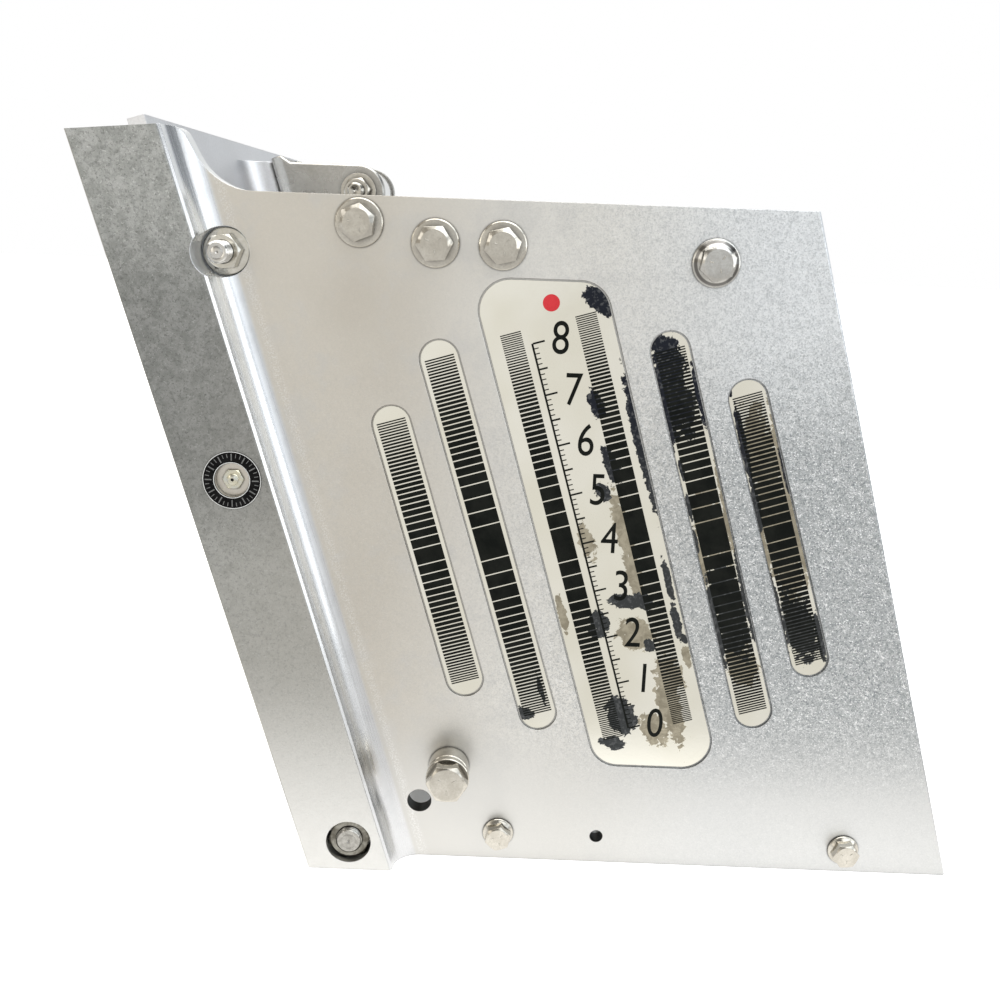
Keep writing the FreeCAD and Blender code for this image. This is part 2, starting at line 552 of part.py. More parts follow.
# lower pivot: shaft between the side plates, held by a bolt at each end
shaft = cyl_y(12.7, -Y_INNER, Y_INNER, cx0, cz0)
for sgn in (1, -1):
    y0, y1 = (Y_INNER - 32.0, Y_INNER + 1) if sgn > 0 else (-Y_INNER - 1, -Y_INNER + 32.0)
    shaft = shaft.cut(cyl_y(6.35, y0, y1, cx0, cz0))
save("cylinder_cross_shaft", shaft)
save("cross_shaft_collars", [tube_y(21.0, 12.75, EYE_W + 1.2, EYE_W + 13.2, cx0, cz0),
                             tube_y(21.0, 12.75, -EYE_W - 13.2, -EYE_W - 1.2, cx0, cz0)])
cb, cw = [], []
STACK = 16.0                      # spacer, lock washer and flat washer under the head
for side in (-1, 1):
    s = hex_head(19.05, 7.2, 0.0, face=0.92)
    s = s.fuse(shank(12.7, STACK + 9.5 + 28.0)).removeSplitter()
    cb.append(place_y(s, cx0, cz0, Y_PANEL + STACK, side))
    hole = Part.makeCylinder(6.6, 30, V(0, 0, -5))
    w = Part.makeCylinder(10.9, 10.0).fuse(Part.makeCone(10.9, 10.3, 0.6, V(0, 0, 10.0))).cut(hole)
    w2 = Part.makeCylinder(10.5, 2.8, V(0, 0, 10.6)).cut(hole)
    w2 = w2.cut(box(0, 20, -0.5, 0.5, 10, 14))
    w3 = Part.makeCylinder(11.5, 2.2, V(0, 0, 13.4)).fuse(Part.makeCone(11.5, 11.1, 0.4, V(0, 0, 15.6))).cut(hole)
    for q in (w.removeSplitter(), w2, w3.removeSplitter()):
        cw.append(place_y(q, cx0, cz0, Y_PANEL, side))
save("cross_shaft_bolts", cb)
save("cross_shaft_washers", cw)

# ------------------------------------------------------------------ tie rods
# upper pair of rail counterbores
half_u = 204.4
s = stud(11.1, half_u)
s.rotate(V(0, 0, 0), V(1, 0, 0), 90)
s.translate(V(UPPER_ROD[0], 0, UPPER_ROD[1]))
save("upper_rail_tie_rod", s)
save("upper_rail_tie_nuts", [place_y(flanged_nut(BOLT7, 8.0, 10.5), *UPPER_ROD, 184.0, sd) for sd in (-1, 1)])
save("upper_rail_spacer_tube", tube_y(8.0, 5.65, -Y_INNER, Y_INNER, *UPPER_ROD))

half_l = 205.2
s = stud(14.29, half_l)
s.rotate(V(0, 0, 0), V(1, 0, 0), 90)
s.translate(V(LOWER_ROD[0], 0, LOWER_ROD[1]))
save("lower_rail_tie_rod", s)
save("lower_rail_tie_nuts", [place_y(plain_nut(14.29, 20.6, 7.0, 12.0), *LOWER_ROD, 195.4, sd) for sd in (-1, 1)])
save("lower_rail_spacer_tube", tube_y(12.7, 7.3, -Y_INNER, Y_INNER, *LOWER_ROD))

# bar between the panels near the transom, tapped at both ends
bar = cyl_y(11.0, -Y_INNER, Y_INNER, *TRANSOM_BAR)
for y0 in (Y_INNER - 30.0, -Y_INNER - 1.0):
    bar = bar.cut(cyl_y(BOLT7["d"] / 2, y0, y0 + 31.0, *TRANSOM_BAR))
save("transom_cross_bar", bar)
BOLT7T = dict(BOLT7, h=8.2, face=0.87, rise=2.2, ft=1.3)
save("transom_bar_bolts", [place_y(flanged_bolt(BOLT7T, 9.5 + 24.0, 20.0), *TRANSOM_BAR, Y_PANEL, sd) for sd in (-1, 1)])

# ---------------------------------------------------------- top cross brace
BT = 5.0


def bent_brace(x0, x1, z_in, z_out, t, tab_x0, tab_x1, tab_z, up=False):
    """Plate between the side plates with a bent edge lying on each of them."""
    lo, hi = min(z_in, z_out), max(z_in, z_out)
    s = box(x0, x1, -Y_INNER, Y_INNER, lo, hi)
    for sgn in (1, -1):
        y0, y1 = (Y_INNER - t, Y_INNER) if sgn > 0 else (-Y_INNER, -Y_INNER + t)
        s = s.fuse(box(tab_x0, tab_x1, y0, y1, min(tab_z, hi if not up else lo), max(tab_z, hi if not up else lo)))
    s = s.removeSplitter()
    zc = z_out
    ed = [e for e in s.Edges if abs(e.Vertexes[0].Point.z - zc) < 1e-6 and abs(e.Vertexes[-1].Point.z - zc) < 1e-6
          and abs(abs(e.Vertexes[0].Point.y) - Y_INNER) < 1e-6 and abs(abs(e.Vertexes[-1].Point.y) - Y_INNER) < 1e-6
          and abs(e.Vertexes[0].Point.y - e.Vertexes[-1].Point.y) < 1e-6]
    return s.makeFillet(t, ed)


brace = bent_brace(-72.0, -8.0, 343.5, 348.5, BT, -112.0, -8.0, 317.0)
for x, z in (B1, B2, B3):
    brace = brace.cut(cyl_y(BOLT7["d"] / 2 + 0.25, -200, 200, x, z))
for yc in (-85.0, 0.0, 85.0):
    w = box(-60.0, -22.0, yc - 30, yc + 30, 330, 360)
    ed = [e for e in w.Edges if abs(e.Vertexes[0].Point.z - e.Vertexes[-1].Point.z) > 5]
    brace = brace.cut(w.makeFillet(12.0, ed))
save("top_cross_brace", brace)
tb, tn = [], []
for i, (x, z) in enumerate((B1, B2, B3)):
    for side in (-1, 1):
        turn = (22.0, 4.0, 14.0)[i]
        tb.append(place_y(flanged_bolt(BOLT7, 9.5 + BT + 13.0, turn), x, z, Y_PANEL, side))
        n = flanged_nut(BOLT7, 10.0, 10.0)
        tn.append(place_y(n, x, z, -(Y_INNER - BT), -side))
save("top_brace_bolts", tb)
save("top_brace_nuts", tn)

# --------------------------------------------------------- bottom brace pan
pan = bent_brace(-34.0, 190.0, 4.4, 0.9, 4.0, -34.0, 190.0, 27.0, up=True)
for x, z in (SMALL_A, SMALL_B):
    pan = pan.cut(cyl_y(BOLT5["d"] / 2 + 0.2, -200, 200, x, z))
pan = pan.cut(cyl_y(3.5, -200, 200, *SMALL_HOLE))
for yc in (-110.0, 0.0, 110.0):
    w = box(0.0, 156.0, yc - 40, yc + 40, -5, 12)
    ed = [e for e in w.Edges if abs(e.Vertexes[0].Point.z - e.Vertexes[-1].Point.z) > 5]
    pan = pan.cut(w.makeFillet(24.0, ed))
save("bottom_brace_pan", pan)
pb, pn_ = [], []
for i, (x, z) in enumerate((SMALL_A, SMALL_B)):
    for side in (-1, 1):
        pb.append(place_y(flanged_bolt(BOLT5, 9.5 + 4.0 + 9.0, (18.0, 6.0)[i]), x, z, Y_PANEL, side))
        pn_.append(place_y(flanged_nut(BOLT5, 0.0, 7.2), x, z, -(Y_INNER - 4.0), -side))
save("bottom_brace_bolts", pb)
save("bottom_brace_nuts", pn_)

# ------------------------------------------------------------- small items
gf = []
for side in (-1, 1):
    g = hex_head(9.5, 1.2, 0.0).fuse(Part.makeCylinder(2.9, 1.8, V(0, 0, -1.8)))
    g = g.fuse(Part.makeCone(2.9, 2.1, 0.6, V(0, 0, 1.2))).fuse(Part.makeCone(2.1, 2.8, 0.4, V(0, 0, 1.8)))
    g = g.fuse(Part.makeCone(2.8, 1.6, 0.5, V(0, 0, 2.2)))
    g = g.cut(Part.makeCylinder(0.8, 30, V(0, 0, -10))).removeSplitter()
    gf.append(place_y(g, *GREASE, GREASE_Y, side))
save("grease_fittings", gf)

rings = []
for side in (-1, 1):
    r = Part.makeCylinder(14.6, 0.3).cut(Part.makeCylinder(8.7, 5, V(0, 0, -1)))
    rings.append(place_y(r, *GREASE, Y_RAIL, side))
save("grease_ring_labels", rings)

VINYL = 0.3
dec = []
for c0, c1 in SLOTS:
    dec.append(slot_solid(c0, c1, SLOT_R - 0.9, Y_PANEL - POCKET_DEPTH, Y_PANEL - POCKET_DEPTH + VINYL))
dec.append(centre_solid(1.0, Y_PANEL - POCKET_DEPTH, Y_PANEL - POCKET_DEPTH + VINYL))
save("scale_decals_port", dec)
save("scale_decals_starboard", [mirror(d) for d in dec])
print("written", len(os.listdir("parts")))
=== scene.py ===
import math

import bmesh
import bpy
from mathutils import Matrix, Vector


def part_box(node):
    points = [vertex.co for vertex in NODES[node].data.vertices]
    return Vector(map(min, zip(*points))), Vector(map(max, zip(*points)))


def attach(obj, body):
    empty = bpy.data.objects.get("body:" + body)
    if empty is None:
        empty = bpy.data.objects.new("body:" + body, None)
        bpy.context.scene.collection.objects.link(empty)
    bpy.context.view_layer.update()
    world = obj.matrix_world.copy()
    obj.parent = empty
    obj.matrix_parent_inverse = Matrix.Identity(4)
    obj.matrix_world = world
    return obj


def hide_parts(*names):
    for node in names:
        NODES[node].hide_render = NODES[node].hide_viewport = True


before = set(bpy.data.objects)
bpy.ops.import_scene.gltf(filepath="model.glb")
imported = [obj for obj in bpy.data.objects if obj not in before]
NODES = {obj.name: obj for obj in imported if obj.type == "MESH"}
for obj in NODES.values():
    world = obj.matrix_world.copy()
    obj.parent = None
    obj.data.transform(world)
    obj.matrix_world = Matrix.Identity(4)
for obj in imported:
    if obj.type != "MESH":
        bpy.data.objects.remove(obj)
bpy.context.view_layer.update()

# The row frame: +X forward, +Y to port, +Z up, metres. The side plates, the
# motor plate and the transom flanges lean aft by the slant.
SLANT = math.radians(16.5)
CA, SA = math.cos(SLANT), math.sin(SLANT)
X_FOOT = -0.1186
Y_RAIL, Y_PANEL = 0.2060, 0.1888
VINYL_Y = 0.1879                       # outer surface of the bright vinyl
PRINT = 0.00007                        # thickness of the print on it


def slant_pt(a, b):
    """X and Z of a point a forward of the rails' aft face and b up the slant."""
    return X_FOOT + a * CA - b * SA, a * SA + b * CA


# ------------------------------------------------------------ node helpers


def N(t, kind, ins=None, **attrs):
    n = t.nodes.new("ShaderNode" + kind)
    for k, v in attrs.items():
        setattr(n, k, v)
    for k, v in (ins or {}).items():
        s = n.inputs[k]
        if isinstance(v, bpy.types.NodeSocket):
            t.links.new(v, s)
        else:
            s.default_value = v
    return n


def new_mat(name):
    m = bpy.data.materials.new(name)
    m.use_nodes = True
    t = m.node_tree
    t.nodes.clear()
    out = N(t, "OutputMaterial")
    p = N(t, "BsdfPrincipled")
    t.links.new(p.outputs[0], out.inputs[0])
    co = N(t, "TexCoord").outputs["Object"]
    return m, t, p, co


def math_(t, op, a, b=None, clamp=False):
    ins = {0: a}
    if b is not None:
        ins[1] = b
    return N(t, "Math", ins, operation=op, use_clamp=clamp).outputs[0]


def noise(t, co, scale, detail=4.0, rough=0.55, dist=0.0, out="Fac"):
    return N(t, "TexNoise", {"Vector": co, "Scale": scale, "Detail": detail, "Roughness": rough,
                             "Distortion": dist}).outputs[out]


def remap(t, v, a, b, c=0.0, d=1.0, smooth=True):
    return N(t, "MapRange", {"Value": v, "From Min": a, "From Max": b, "To Min": c, "To Max": d},
             interpolation_type="SMOOTHSTEP" if smooth else "LINEAR", clamp=True).outputs[0]


def mix(t, f, a, b, mode="MIX"):
    return N(t, "MixRGB", {"Fac": f, "Color1": a, "Color2": b}, blend_type=mode).outputs[0]


def rgb(r, g, b):
    return (r, g, b, 1.0)


def sep(t, co):
    s = N(t, "SeparateXYZ", {0: co})
    return s.outputs[0], s.outputs[1], s.outputs[2]


def dot(t, co, vec):
    return N(t, "VectorMath", {0: co, 1: vec}, operation="DOT_PRODUCT").outputs["Value"]


def scaled(t, co, vec):
    return N(t, "VectorMath", {0: co, 1: vec}, operation="MULTIPLY").outputs["Vector"]


def stretched_along_slant(t, co, squeeze):
    """Coordinates in the leaning frame, with the way up the slant pressed
    together, so that a noise on them draws out into lines up the slant."""
    a = dot(t, co, (CA, 0, SA))
    b = dot(t, co, (-SA * squeeze, 0, CA * squeeze))
    y = dot(t, co, (0, 1, 0))
    return N(t, "CombineXYZ", {0: a, 1: y, 2: b}).outputs[0]


def bumped(t, p, layers, bevel=0.0004):
    """Bump layers (height, strength, distance) over rounded edges."""
    nrm = N(t, "Bevel", {"Radius": bevel}, samples=4).outputs[0] if bevel else None
    for h, strength, distance in layers:
        ins = {"Height": h, "Strength": strength, "Distance": distance}
        if nrm is not None:
            ins["Normal"] = nrm
        nrm = N(t, "Bump", ins).outputs[0]
    if nrm is not None:
        t.links.new(nrm, p.inputs["Normal"])


def contact(t, c, distance=0.003, low=0.35, a0=0.30, a1=0.92):
    """Painted shade: colour darkened by ambient occlusion in the narrow gaps where pieces meet."""
    ao = N(t, "AmbientOcclusion", {"Distance": distance}, samples=6).outputs["AO"]
    k = remap(t, ao, a0, a1, low, 1.0, smooth=False)
    kk = N(t, "CombineXYZ", {0: k, 1: k, 2: k}).outputs[0]
    return mix(t, 1.0, c, kk, "MULTIPLY")


def ridges(t, n, width):
    """1 along the lines where a noise crosses its middle, 0 off them."""
    return remap(t, math_(t, "ABSOLUTE", math_(t, "SUBTRACT", n, 0.5)), width, 0.0)


def metal(name, col, col2, rough, rough2, blotch=30.0, grain=1400.0, grain_bump=0.10, bevel=0.0004,
          scratch=None, metallic=1.0, gap=0.0, low=0.30, a0=0.30, a1=0.92, ring=None):
    m, t, p, co = new_mat(name)
    big = noise(t, co, blotch, 5.0, 0.6)
    fine = noise(t, co, grain, 3.0, 0.6)
    k = remap(t, big, 0.35, 0.68)
    c = mix(t, k, rgb(*col), rgb(*col2))
    c = mix(t, remap(t, fine, 0.35, 0.75, 0.0, 0.25), c, rgb(*[x * 0.72 for x in col]))
    # painted shade: a dark ring round the flange in place of the shade of a groove
    if ring:
        rx, rz, r0, r1 = ring
        x, y, z = sep(t, co)
        flat = N(t, "CombineXYZ", {0: math_(t, "SUBTRACT", x, rx), 1: 0.0, 2: math_(t, "SUBTRACT", z, rz)}).outputs[0]
        d = N(t, "VectorMath", {0: flat}, operation="LENGTH").outputs["Value"]
        band = math_(t, "MULTIPLY", remap(t, d, r0 - 0.0002, r0 + 0.0003), remap(t, d, r1 + 0.0002, r1 - 0.0003))
        c = mix(t, math_(t, "MULTIPLY", band, 0.80), c, rgb(0.07, 0.065, 0.06))
    # painted shade: with gap set, the colour darkens in narrow gaps between pieces
    if gap:
        c = contact(t, c, gap, low, a0, a1)
    t.links.new(c, p.inputs["Base Color"])
    r = remap(t, big, 0.3, 0.7, rough, rough2)
    t.links.new(r, p.inputs["Roughness"])
    p.inputs["Metallic"].default_value = metallic
    layers = [(fine, grain_bump, 0.00025)]
    if scratch:
        s = noise(t, scaled(t, co, scratch), 1.0, 4.0, 0.7)
        layers.append((s, 0.10, 0.0002))
    bumped(t, p, layers, bevel)
    return m


MATS = {}

# ---- side plates: tumbled aluminium panel, raw mottled rail face, polished fillet


def side_plate_material():
    m, t, p, co = new_mat("tumbled_aluminium_plate")
    x, y, z = sep(t, co)
    ay = math_(t, "ABSOLUTE", y)
    a = math_(t, "SUBTRACT", dot(t, co, (CA, 0, SA)), X_FOOT * CA)
    rail = remap(t, ay, 0.20545, 0.20575)
    # panel: smooth and warm aft, frosted with fine crystals forward whose white glints are painted highlights; the
    # upper forward part is painted lighter as painted light
    blot = noise(t, co, 11.0, 4.0, 0.5)
    blot2 = noise(t, co, 45.0, 5.0, 0.6)
    c = mix(t, remap(t, blot, 0.35, 0.65), rgb(0.625, 0.587, 0.52), rgb(0.675, 0.64, 0.575))
    c = mix(t, remap(t, x, -0.10, 0.0), c, rgb(0.79, 0.775, 0.735))
    c = mix(t, remap(t, blot2, 0.48, 0.66, 0.0, 0.35), c, rgb(0.62, 0.615, 0.60))
    cool = remap(t, x, 0.01, 0.11)
    # painted light: towards the top the forward part turns much lighter
    high = remap(t, math_(t, "ADD", z, math_(t, "MULTIPLY", blot2, 0.05)), 0.24, 0.33)
    c = mix(t, math_(t, "MULTIPLY", cool, 0.9), c, mix(t, high, rgb(0.545, 0.562, 0.570), rgb(0.85, 0.87, 0.885)))
    foot = remap(t, z, 0.105, 0.035)
    c = mix(t, math_(t, "MULTIPLY", foot, 0.8), c, mix(t, cool, rgb(0.585, 0.58, 0.56), rgb(0.65, 0.65, 0.64)))
    flake = noise(t, co, 1200.0, 4.0, 0.66, 0.7)
    flake2 = noise(t, co, 420.0, 5.0, 0.68, 0.8)
    amount = math_(t, "MULTIPLY", remap(t, x, -0.06, 0.11, 0.10, 1.0),
                   math_(t, "SUBTRACT", 1.0, math_(t, "MULTIPLY", foot, 0.9)))
    amount = math_(t, "MULTIPLY", amount, math_(t, "SUBTRACT", 1.0, math_(t, "MULTIPLY", high, 0.55)))
    c = mix(t, math_(t, "MULTIPLY", amount, remap(t, flake2, 0.42, 0.66, 0.0, 0.60)), c, rgb(0.34, 0.36, 0.37))
    c = mix(t, math_(t, "MULTIPLY", amount, remap(t, flake, 0.46, 0.61, 0.0, 0.85)), c, rgb(0.23, 0.25, 0.26))
    # painted highlights: white glint streaks and dots over the crystals
    drawn = N(t, "CombineXYZ", {0: dot(t, co, (0.38, 0, -0.17)), 1: y, 2: dot(t, co, (0.42, 0, 0.91))}).outputs[0]
    lines = math_(t, "MULTIPLY", ridges(t, noise(t, drawn, 620.0, 2.0, 0.5, 0.9), 0.030),
                  remap(t, noise(t, co, 260.0, 2.0, 0.5), 0.46, 0.58))
    c = mix(t, math_(t, "MULTIPLY", amount, lines), c, rgb(1.0, 1.0, 1.0))
    glint = remap(t, noise(t, co, 1150.0, 1.0, 0.5), 0.62, 0.69)
    c = mix(t, math_(t, "MULTIPLY", amount, glint), c, rgb(1.0, 1.0, 1.0))
    # raw rail face: mottled high up, calmer, paler and warmer lower down
    mot = noise(t, co, 140.0, 8.0, 0.74, 0.3)
    mot2 = noise(t, co, 520.0, 6.0, 0.72, 0.4)
    calm = remap(t, math_(t, "ADD", z, math_(t, "MULTIPLY", a, -1.6)), 0.27, 0.06)
    rc = mix(t, remap(t, mot, 0.38, 0.62), rgb(0.36, 0.37, 0.355), rgb(0.50, 0.505, 0.49))
    rc = mix(t, math_(t, "MULTIPLY", calm, 0.75), rc, rgb(0.50, 0.485, 0.445))
    rough_amt = math_(t, "SUBTRACT", 1.0, math_(t, "MULTIPLY", calm, 0.55))
    rc = mix(t, math_(t, "MULTIPLY", rough_amt, remap(t, mot2, 0.50, 0.62, 0.0, 0.55)), rc, rgb(0.235, 0.24, 0.23))
    rc = mix(t, math_(t, "MULTIPLY", rough_amt, remap(t, noise(t, co, 1000.0, 3.0, 0.6, 0.5), 0.58, 0.66, 0.0, 0.55)),
             rc, rgb(0.15, 0.155, 0.145))
    rc = mix(t, math_(t, "MULTIPLY", rough_amt, remap(t, noise(t, co, 900.0, 2.0, 0.6, 0.5), 0.62, 0.70, 0.0, 0.5)),
             rc, rgb(0.72, 0.73, 0.71))
    low = remap(t, z, 0.13, 0.015)
    rc = mix(t, math_(t, "MULTIPLY", low, 0.8), rc, rgb(0.76, 0.755, 0.735))
    # the rail is darker in a band through the middle and, less, in a low band
    darker_mid_band = math_(t, "MULTIPLY", remap(t, z, 0.350, 0.290), remap(t, z, 0.165, 0.220))
    rc = mix(t, math_(t, "MULTIPLY", darker_mid_band, 0.24), rc, rgb(0.0, 0.0, 0.0))
    darker_low_band = math_(t, "MULTIPLY", remap(t, z, 0.350, 0.290), remap(t, z, 0.060, 0.115))
    rc = mix(t, math_(t, "MULTIPLY", darker_low_band, 0.10), rc, rgb(0.0, 0.0, 0.0))
    c = mix(t, rail, c, rc)
    # polished fillet and chamfer between rail and panel
    step = math_(t, "MULTIPLY", remap(t, ay, 0.18895, 0.18945), math_(t, "SUBTRACT", 1.0, rail))
    step = math_(t, "MULTIPLY", step, remap(t, a, 0.0414, 0.0418))
    streak = noise(t, stretched_along_slant(t, co, 0.02), 520.0, 3.0, 0.5)
    sc = mix(t, streak, rgb(0.72, 0.73, 0.74), rgb(0.82, 0.82, 0.82))
    sc = mix(t, remap(t, noise(t, co, 90.0, 6.0, 0.7), 0.45, 0.70, 0.0, 0.25), sc, rgb(0.50, 0.51, 0.52))
    sc = mix(t, remap(t, z, 0.330, 0.270, 0.0, 0.16), sc, rgb(0.0, 0.0, 0.0))
    c = mix(t, step, c, sc)
    # speckled seam where the fillet runs out into the panel
    seam = math_(t, "MULTIPLY", remap(t, a, 0.0555, 0.0575), remap(t, a, 0.0625, 0.0590))
    seam = math_(t, "MULTIPLY", seam, remap(t, noise(t, co, 1500.0, 2.0, 0.6), 0.50, 0.60))
    c = mix(t, math_(t, "MULTIPLY", seam, 0.32), c, rgb(0.97, 0.97, 0.97))
    nx, ny, nz = sep(t, N(t, "NewGeometry").outputs["True Normal"])
    cut = math_(t, "MULTIPLY", remap(t, math_(t, "ABSOLUTE", ny), 0.35, 0.15), remap(t, z, 0.345, 0.350))
    cut = math_(t, "MULTIPLY", cut, remap(t, nz, 0.02, 0.12))
    c = mix(t, cut, c, rgb(0.97, 0.97, 0.96))
    # painted shade: dark outlines in the narrow gaps round flanges and pocket edges
    c = contact(t, c, 0.0012, 0.26, 0.42, 0.88)
    # discs round three holes: a near-white disc at the upper counterbore, and near-black discs inside two holes as
    # painted shade
    for bx, bz, br, shade in ((-0.1608, 0.3225, 0.0123, (0.94, 0.96, 0.99)), (-0.0607, 0.0329, 0.0066, (0.10, 0.10, 0.095)),
                              (0.0368, 0.0155, 0.0036, (0.10, 0.10, 0.095))):
        rel = N(t, "CombineXYZ", {0: math_(t, "SUBTRACT", x, bx), 1: 0.0, 2: math_(t, "SUBTRACT", z, bz)}).outputs[0]
        away = N(t, "VectorMath", {0: rel}, operation="LENGTH").outputs["Value"]
        c = mix(t, remap(t, away, br + 0.0001, br - 0.00005), c, rgb(*shade))
    t.links.new(c, p.inputs["Base Color"])
    p.inputs["Metallic"].default_value = 1.0
    r = remap(t, blot, 0.3, 0.7, 0.36, 0.44)
    r = mix(t, rail, r, remap(t, mot, 0.3, 0.7, 0.46, 0.60))
    r = mix(t, step, r, remap(t, streak, 0.3, 0.7, 0.22, 0.32))
    r = mix(t, cut, r, rgb(0.55, 0.55, 0.55))
    t.links.new(r, p.inputs["Roughness"])
    amt = mix(t, step, mix(t, rail, amount, rgb(0.75, 0.75, 0.75)), rgb(0.05, 0.05, 0.05))
    g = math_(t, "MULTIPLY", flake, amt)
    g2 = math_(t, "MULTIPLY", flake2, amt)
    bumped(t, p, [(g2, 0.40, 0.0007), (g, 0.50, 0.0005), (streak, 0.05, 0.0002)], 0.0005)
    return m


MATS["side_plate"] = side_plate_material()
MATS["motor_plate"] = metal("milled_aluminium", (0.80, 0.80, 0.81), (0.86, 0.86, 0.87), 0.40, 0.48,
                            blotch=14.0, grain=900.0, grain_bump=0.05, bevel=0.0006,
                            scratch=(60.0, 1800.0, 60.0))
MATS["sheet"] = metal("brushed_sheet_aluminium", (0.50, 0.505, 0.51), (0.60, 0.605, 0.61), 0.36, 0.46,
                      blotch=20.0, grain=1100.0, grain_bump=0.10, scratch=(40.0, 40.0, 900.0))
# gap sets how far the painted shade reaches into narrow gaps on these metals
MATS["bracket"] = metal("stainless_plate", (0.46, 0.445, 0.41), (0.56, 0.545, 0.51), 0.20, 0.30,
                        blotch=60.0, grain=700.0, grain_bump=0.14, bevel=0.0008, gap=0.003)
MATS["fastener"] = metal("stainless_fastener", (0.525, 0.495, 0.435), (0.625, 0.595, 0.53), 0.09, 0.17,
                         blotch=150.0, grain=900.0, grain_bump=0.10, bevel=0.00035, gap=0.0045, low=0.20,
                         a0=0.42, a1=0.80)
# its ring is the painted dark ring on the flange of the transom bar bolts
MATS["domed_fastener"] = metal("stainless_domed_head", (0.50, 0.485, 0.45), (0.60, 0.59, 0.56), 0.09, 0.17,
                               blotch=150.0, grain=900.0, grain_bump=0.10, bevel=0.0005, gap=0.006, low=0.20,
                               a0=0.42, a1=0.85,
                               ring=(0.0779, 0.3254, 0.0094, 0.0110))
MATS["sunk_fastener"] = metal("stainless_sunk_nut", (0.60, 0.575, 0.51), (0.72, 0.70, 0.64), 0.10, 0.18,
                              blotch=150.0, grain=900.0, grain_bump=0.10, bevel=0.0004, gap=0.0012, low=0.35,
                              a0=0.35, a1=0.85)
# near-black stainless for the lower tie nuts, and dark stainless for the lower stud
MATS["dark_fastener"] = metal("dark_stainless_nut", (0.10, 0.092, 0.075), (0.30, 0.29, 0.255), 0.08, 0.16,
                              blotch=170.0, grain=900.0, grain_bump=0.08, bevel=0.00035, gap=0.0016)
MATS["bar"] = metal("stainless_bar", (0.56, 0.545, 0.51), (0.66, 0.645, 0.61), 0.14, 0.20,
                    blotch=80.0, grain=1500.0, grain_bump=0.05, bevel=0.0003, scratch=(900.0, 20.0, 900.0),
                    gap=0.0012)
MATS["dark_bar"] = metal("darker_stainless_bar", (0.30, 0.29, 0.265), (0.42, 0.41, 0.38), 0.12, 0.20,
                         blotch=420.0, grain=1500.0, grain_bump=0.08, bevel=0.0003, gap=0.0012)
MATS["spacer"] = metal("tube_aluminium", (0.70, 0.70, 0.70), (0.80, 0.80, 0.80), 0.28, 0.40,
                       blotch=40.0, grain=900.0, grain_bump=0.08, scratch=(500.0, 12.0, 500.0))
MATS["gland"] = metal("gland_alloy", (0.60, 0.56, 0.48), (0.68, 0.65, 0.57), 0.24, 0.34,
                      blotch=60.0, grain=900.0, scratch=(30.0, 30.0, 1600.0))
MATS["chrome_rod"] = metal("chromed_rod", (0.80, 0.81, 0.83), (0.86, 0.87, 0.88), 0.05, 0.09,
                           blotch=50.0, grain=2500.0, grain_bump=0.02, bevel=0.0003)
MATS["bronze"] = metal("bearing_bronze", (0.55, 0.37, 0.16), (0.66, 0.47, 0.23), 0.26, 0.40,
                       blotch=80.0, grain=900.0, bevel=0.0003)
MATS["zinc"] = metal("zinc_fitting", (0.70, 0.66, 0.50), (0.62, 0.64, 0.62), 0.20, 0.34,
                     blotch=180.0, grain=1200.0, bevel=0.0002)


def dull(name, col, col2, rough, rough2, blotch, grain, bump=0.2, sheen=0.0, bevel=0.0004):
    m, t, p, co = new_mat(name)
    big = noise(t, co, blotch, 4.0, 0.6)
    fine = noise(t, co, grain, 3.0, 0.6)
    c = mix(t, remap(t, big, 0.3, 0.7), rgb(*col), rgb(*col2))
    t.links.new(c, p.inputs["Base Color"])
    t.links.new(remap(t, fine, 0.3, 0.7, rough, rough2), p.inputs["Roughness"])
    p.inputs["IOR"].default_value = 1.5
    bumped(t, p, [(fine, bump, 0.0002)], bevel)
    return m


MATS["paint"] = dull("cylinder_paint", (0.020, 0.021, 0.024), (0.035, 0.036, 0.040), 0.20, 0.34, 40.0, 600.0, 0.15)
MATS["rubber"] = dull("seal_rubber", (0.012, 0.012, 0.012), (0.03, 0.03, 0.03), 0.55, 0.75, 200.0, 1500.0, 0.2)
MATS["plastic_black"] = dull("black_plastic", (0.016, 0.016, 0.017), (0.030, 0.030, 0.032), 0.34, 0.5, 60.0, 1300.0)
MATS["plastic_white"] = dull("white_slide_plastic", (0.80, 0.79, 0.75), (0.88, 0.87, 0.84), 0.36, 0.5, 40.0, 800.0)
MATS["label"] = dull("black_label", (0.004, 0.004, 0.004), (0.009, 0.009, 0.009), 0.60, 0.75, 300.0, 1600.0, 0.08, bevel=0.0001)
MATS["print_white"] = dull("pale_print", (0.62, 0.62, 0.60), (0.74, 0.74, 0.72), 0.42, 0.52, 300.0, 1600.0, 0.08, bevel=0)
MATS["print_grey"] = dull("grey_print", (0.11, 0.11, 0.108), (0.17, 0.17, 0.165), 0.42, 0.52, 300.0, 1600.0, 0.08, bevel=0)
MATS["print_black"] = dull("black_print", (0.005, 0.006, 0.005), (0.011, 0.012, 0.010), 0.42, 0.55, 120.0, 1500.0, 0.06, bevel=0)
for key in ("label", "print_black"):
    MATS[key].node_tree.nodes["Principled BSDF"].inputs["Specular IOR Level"].default_value = 0.06
MATS["print_red"] = dull("red_print", (0.56, 0.014, 0.022), (0.64, 0.024, 0.034), 0.28, 0.40, 120.0, 1500.0, 0.06, bevel=0)
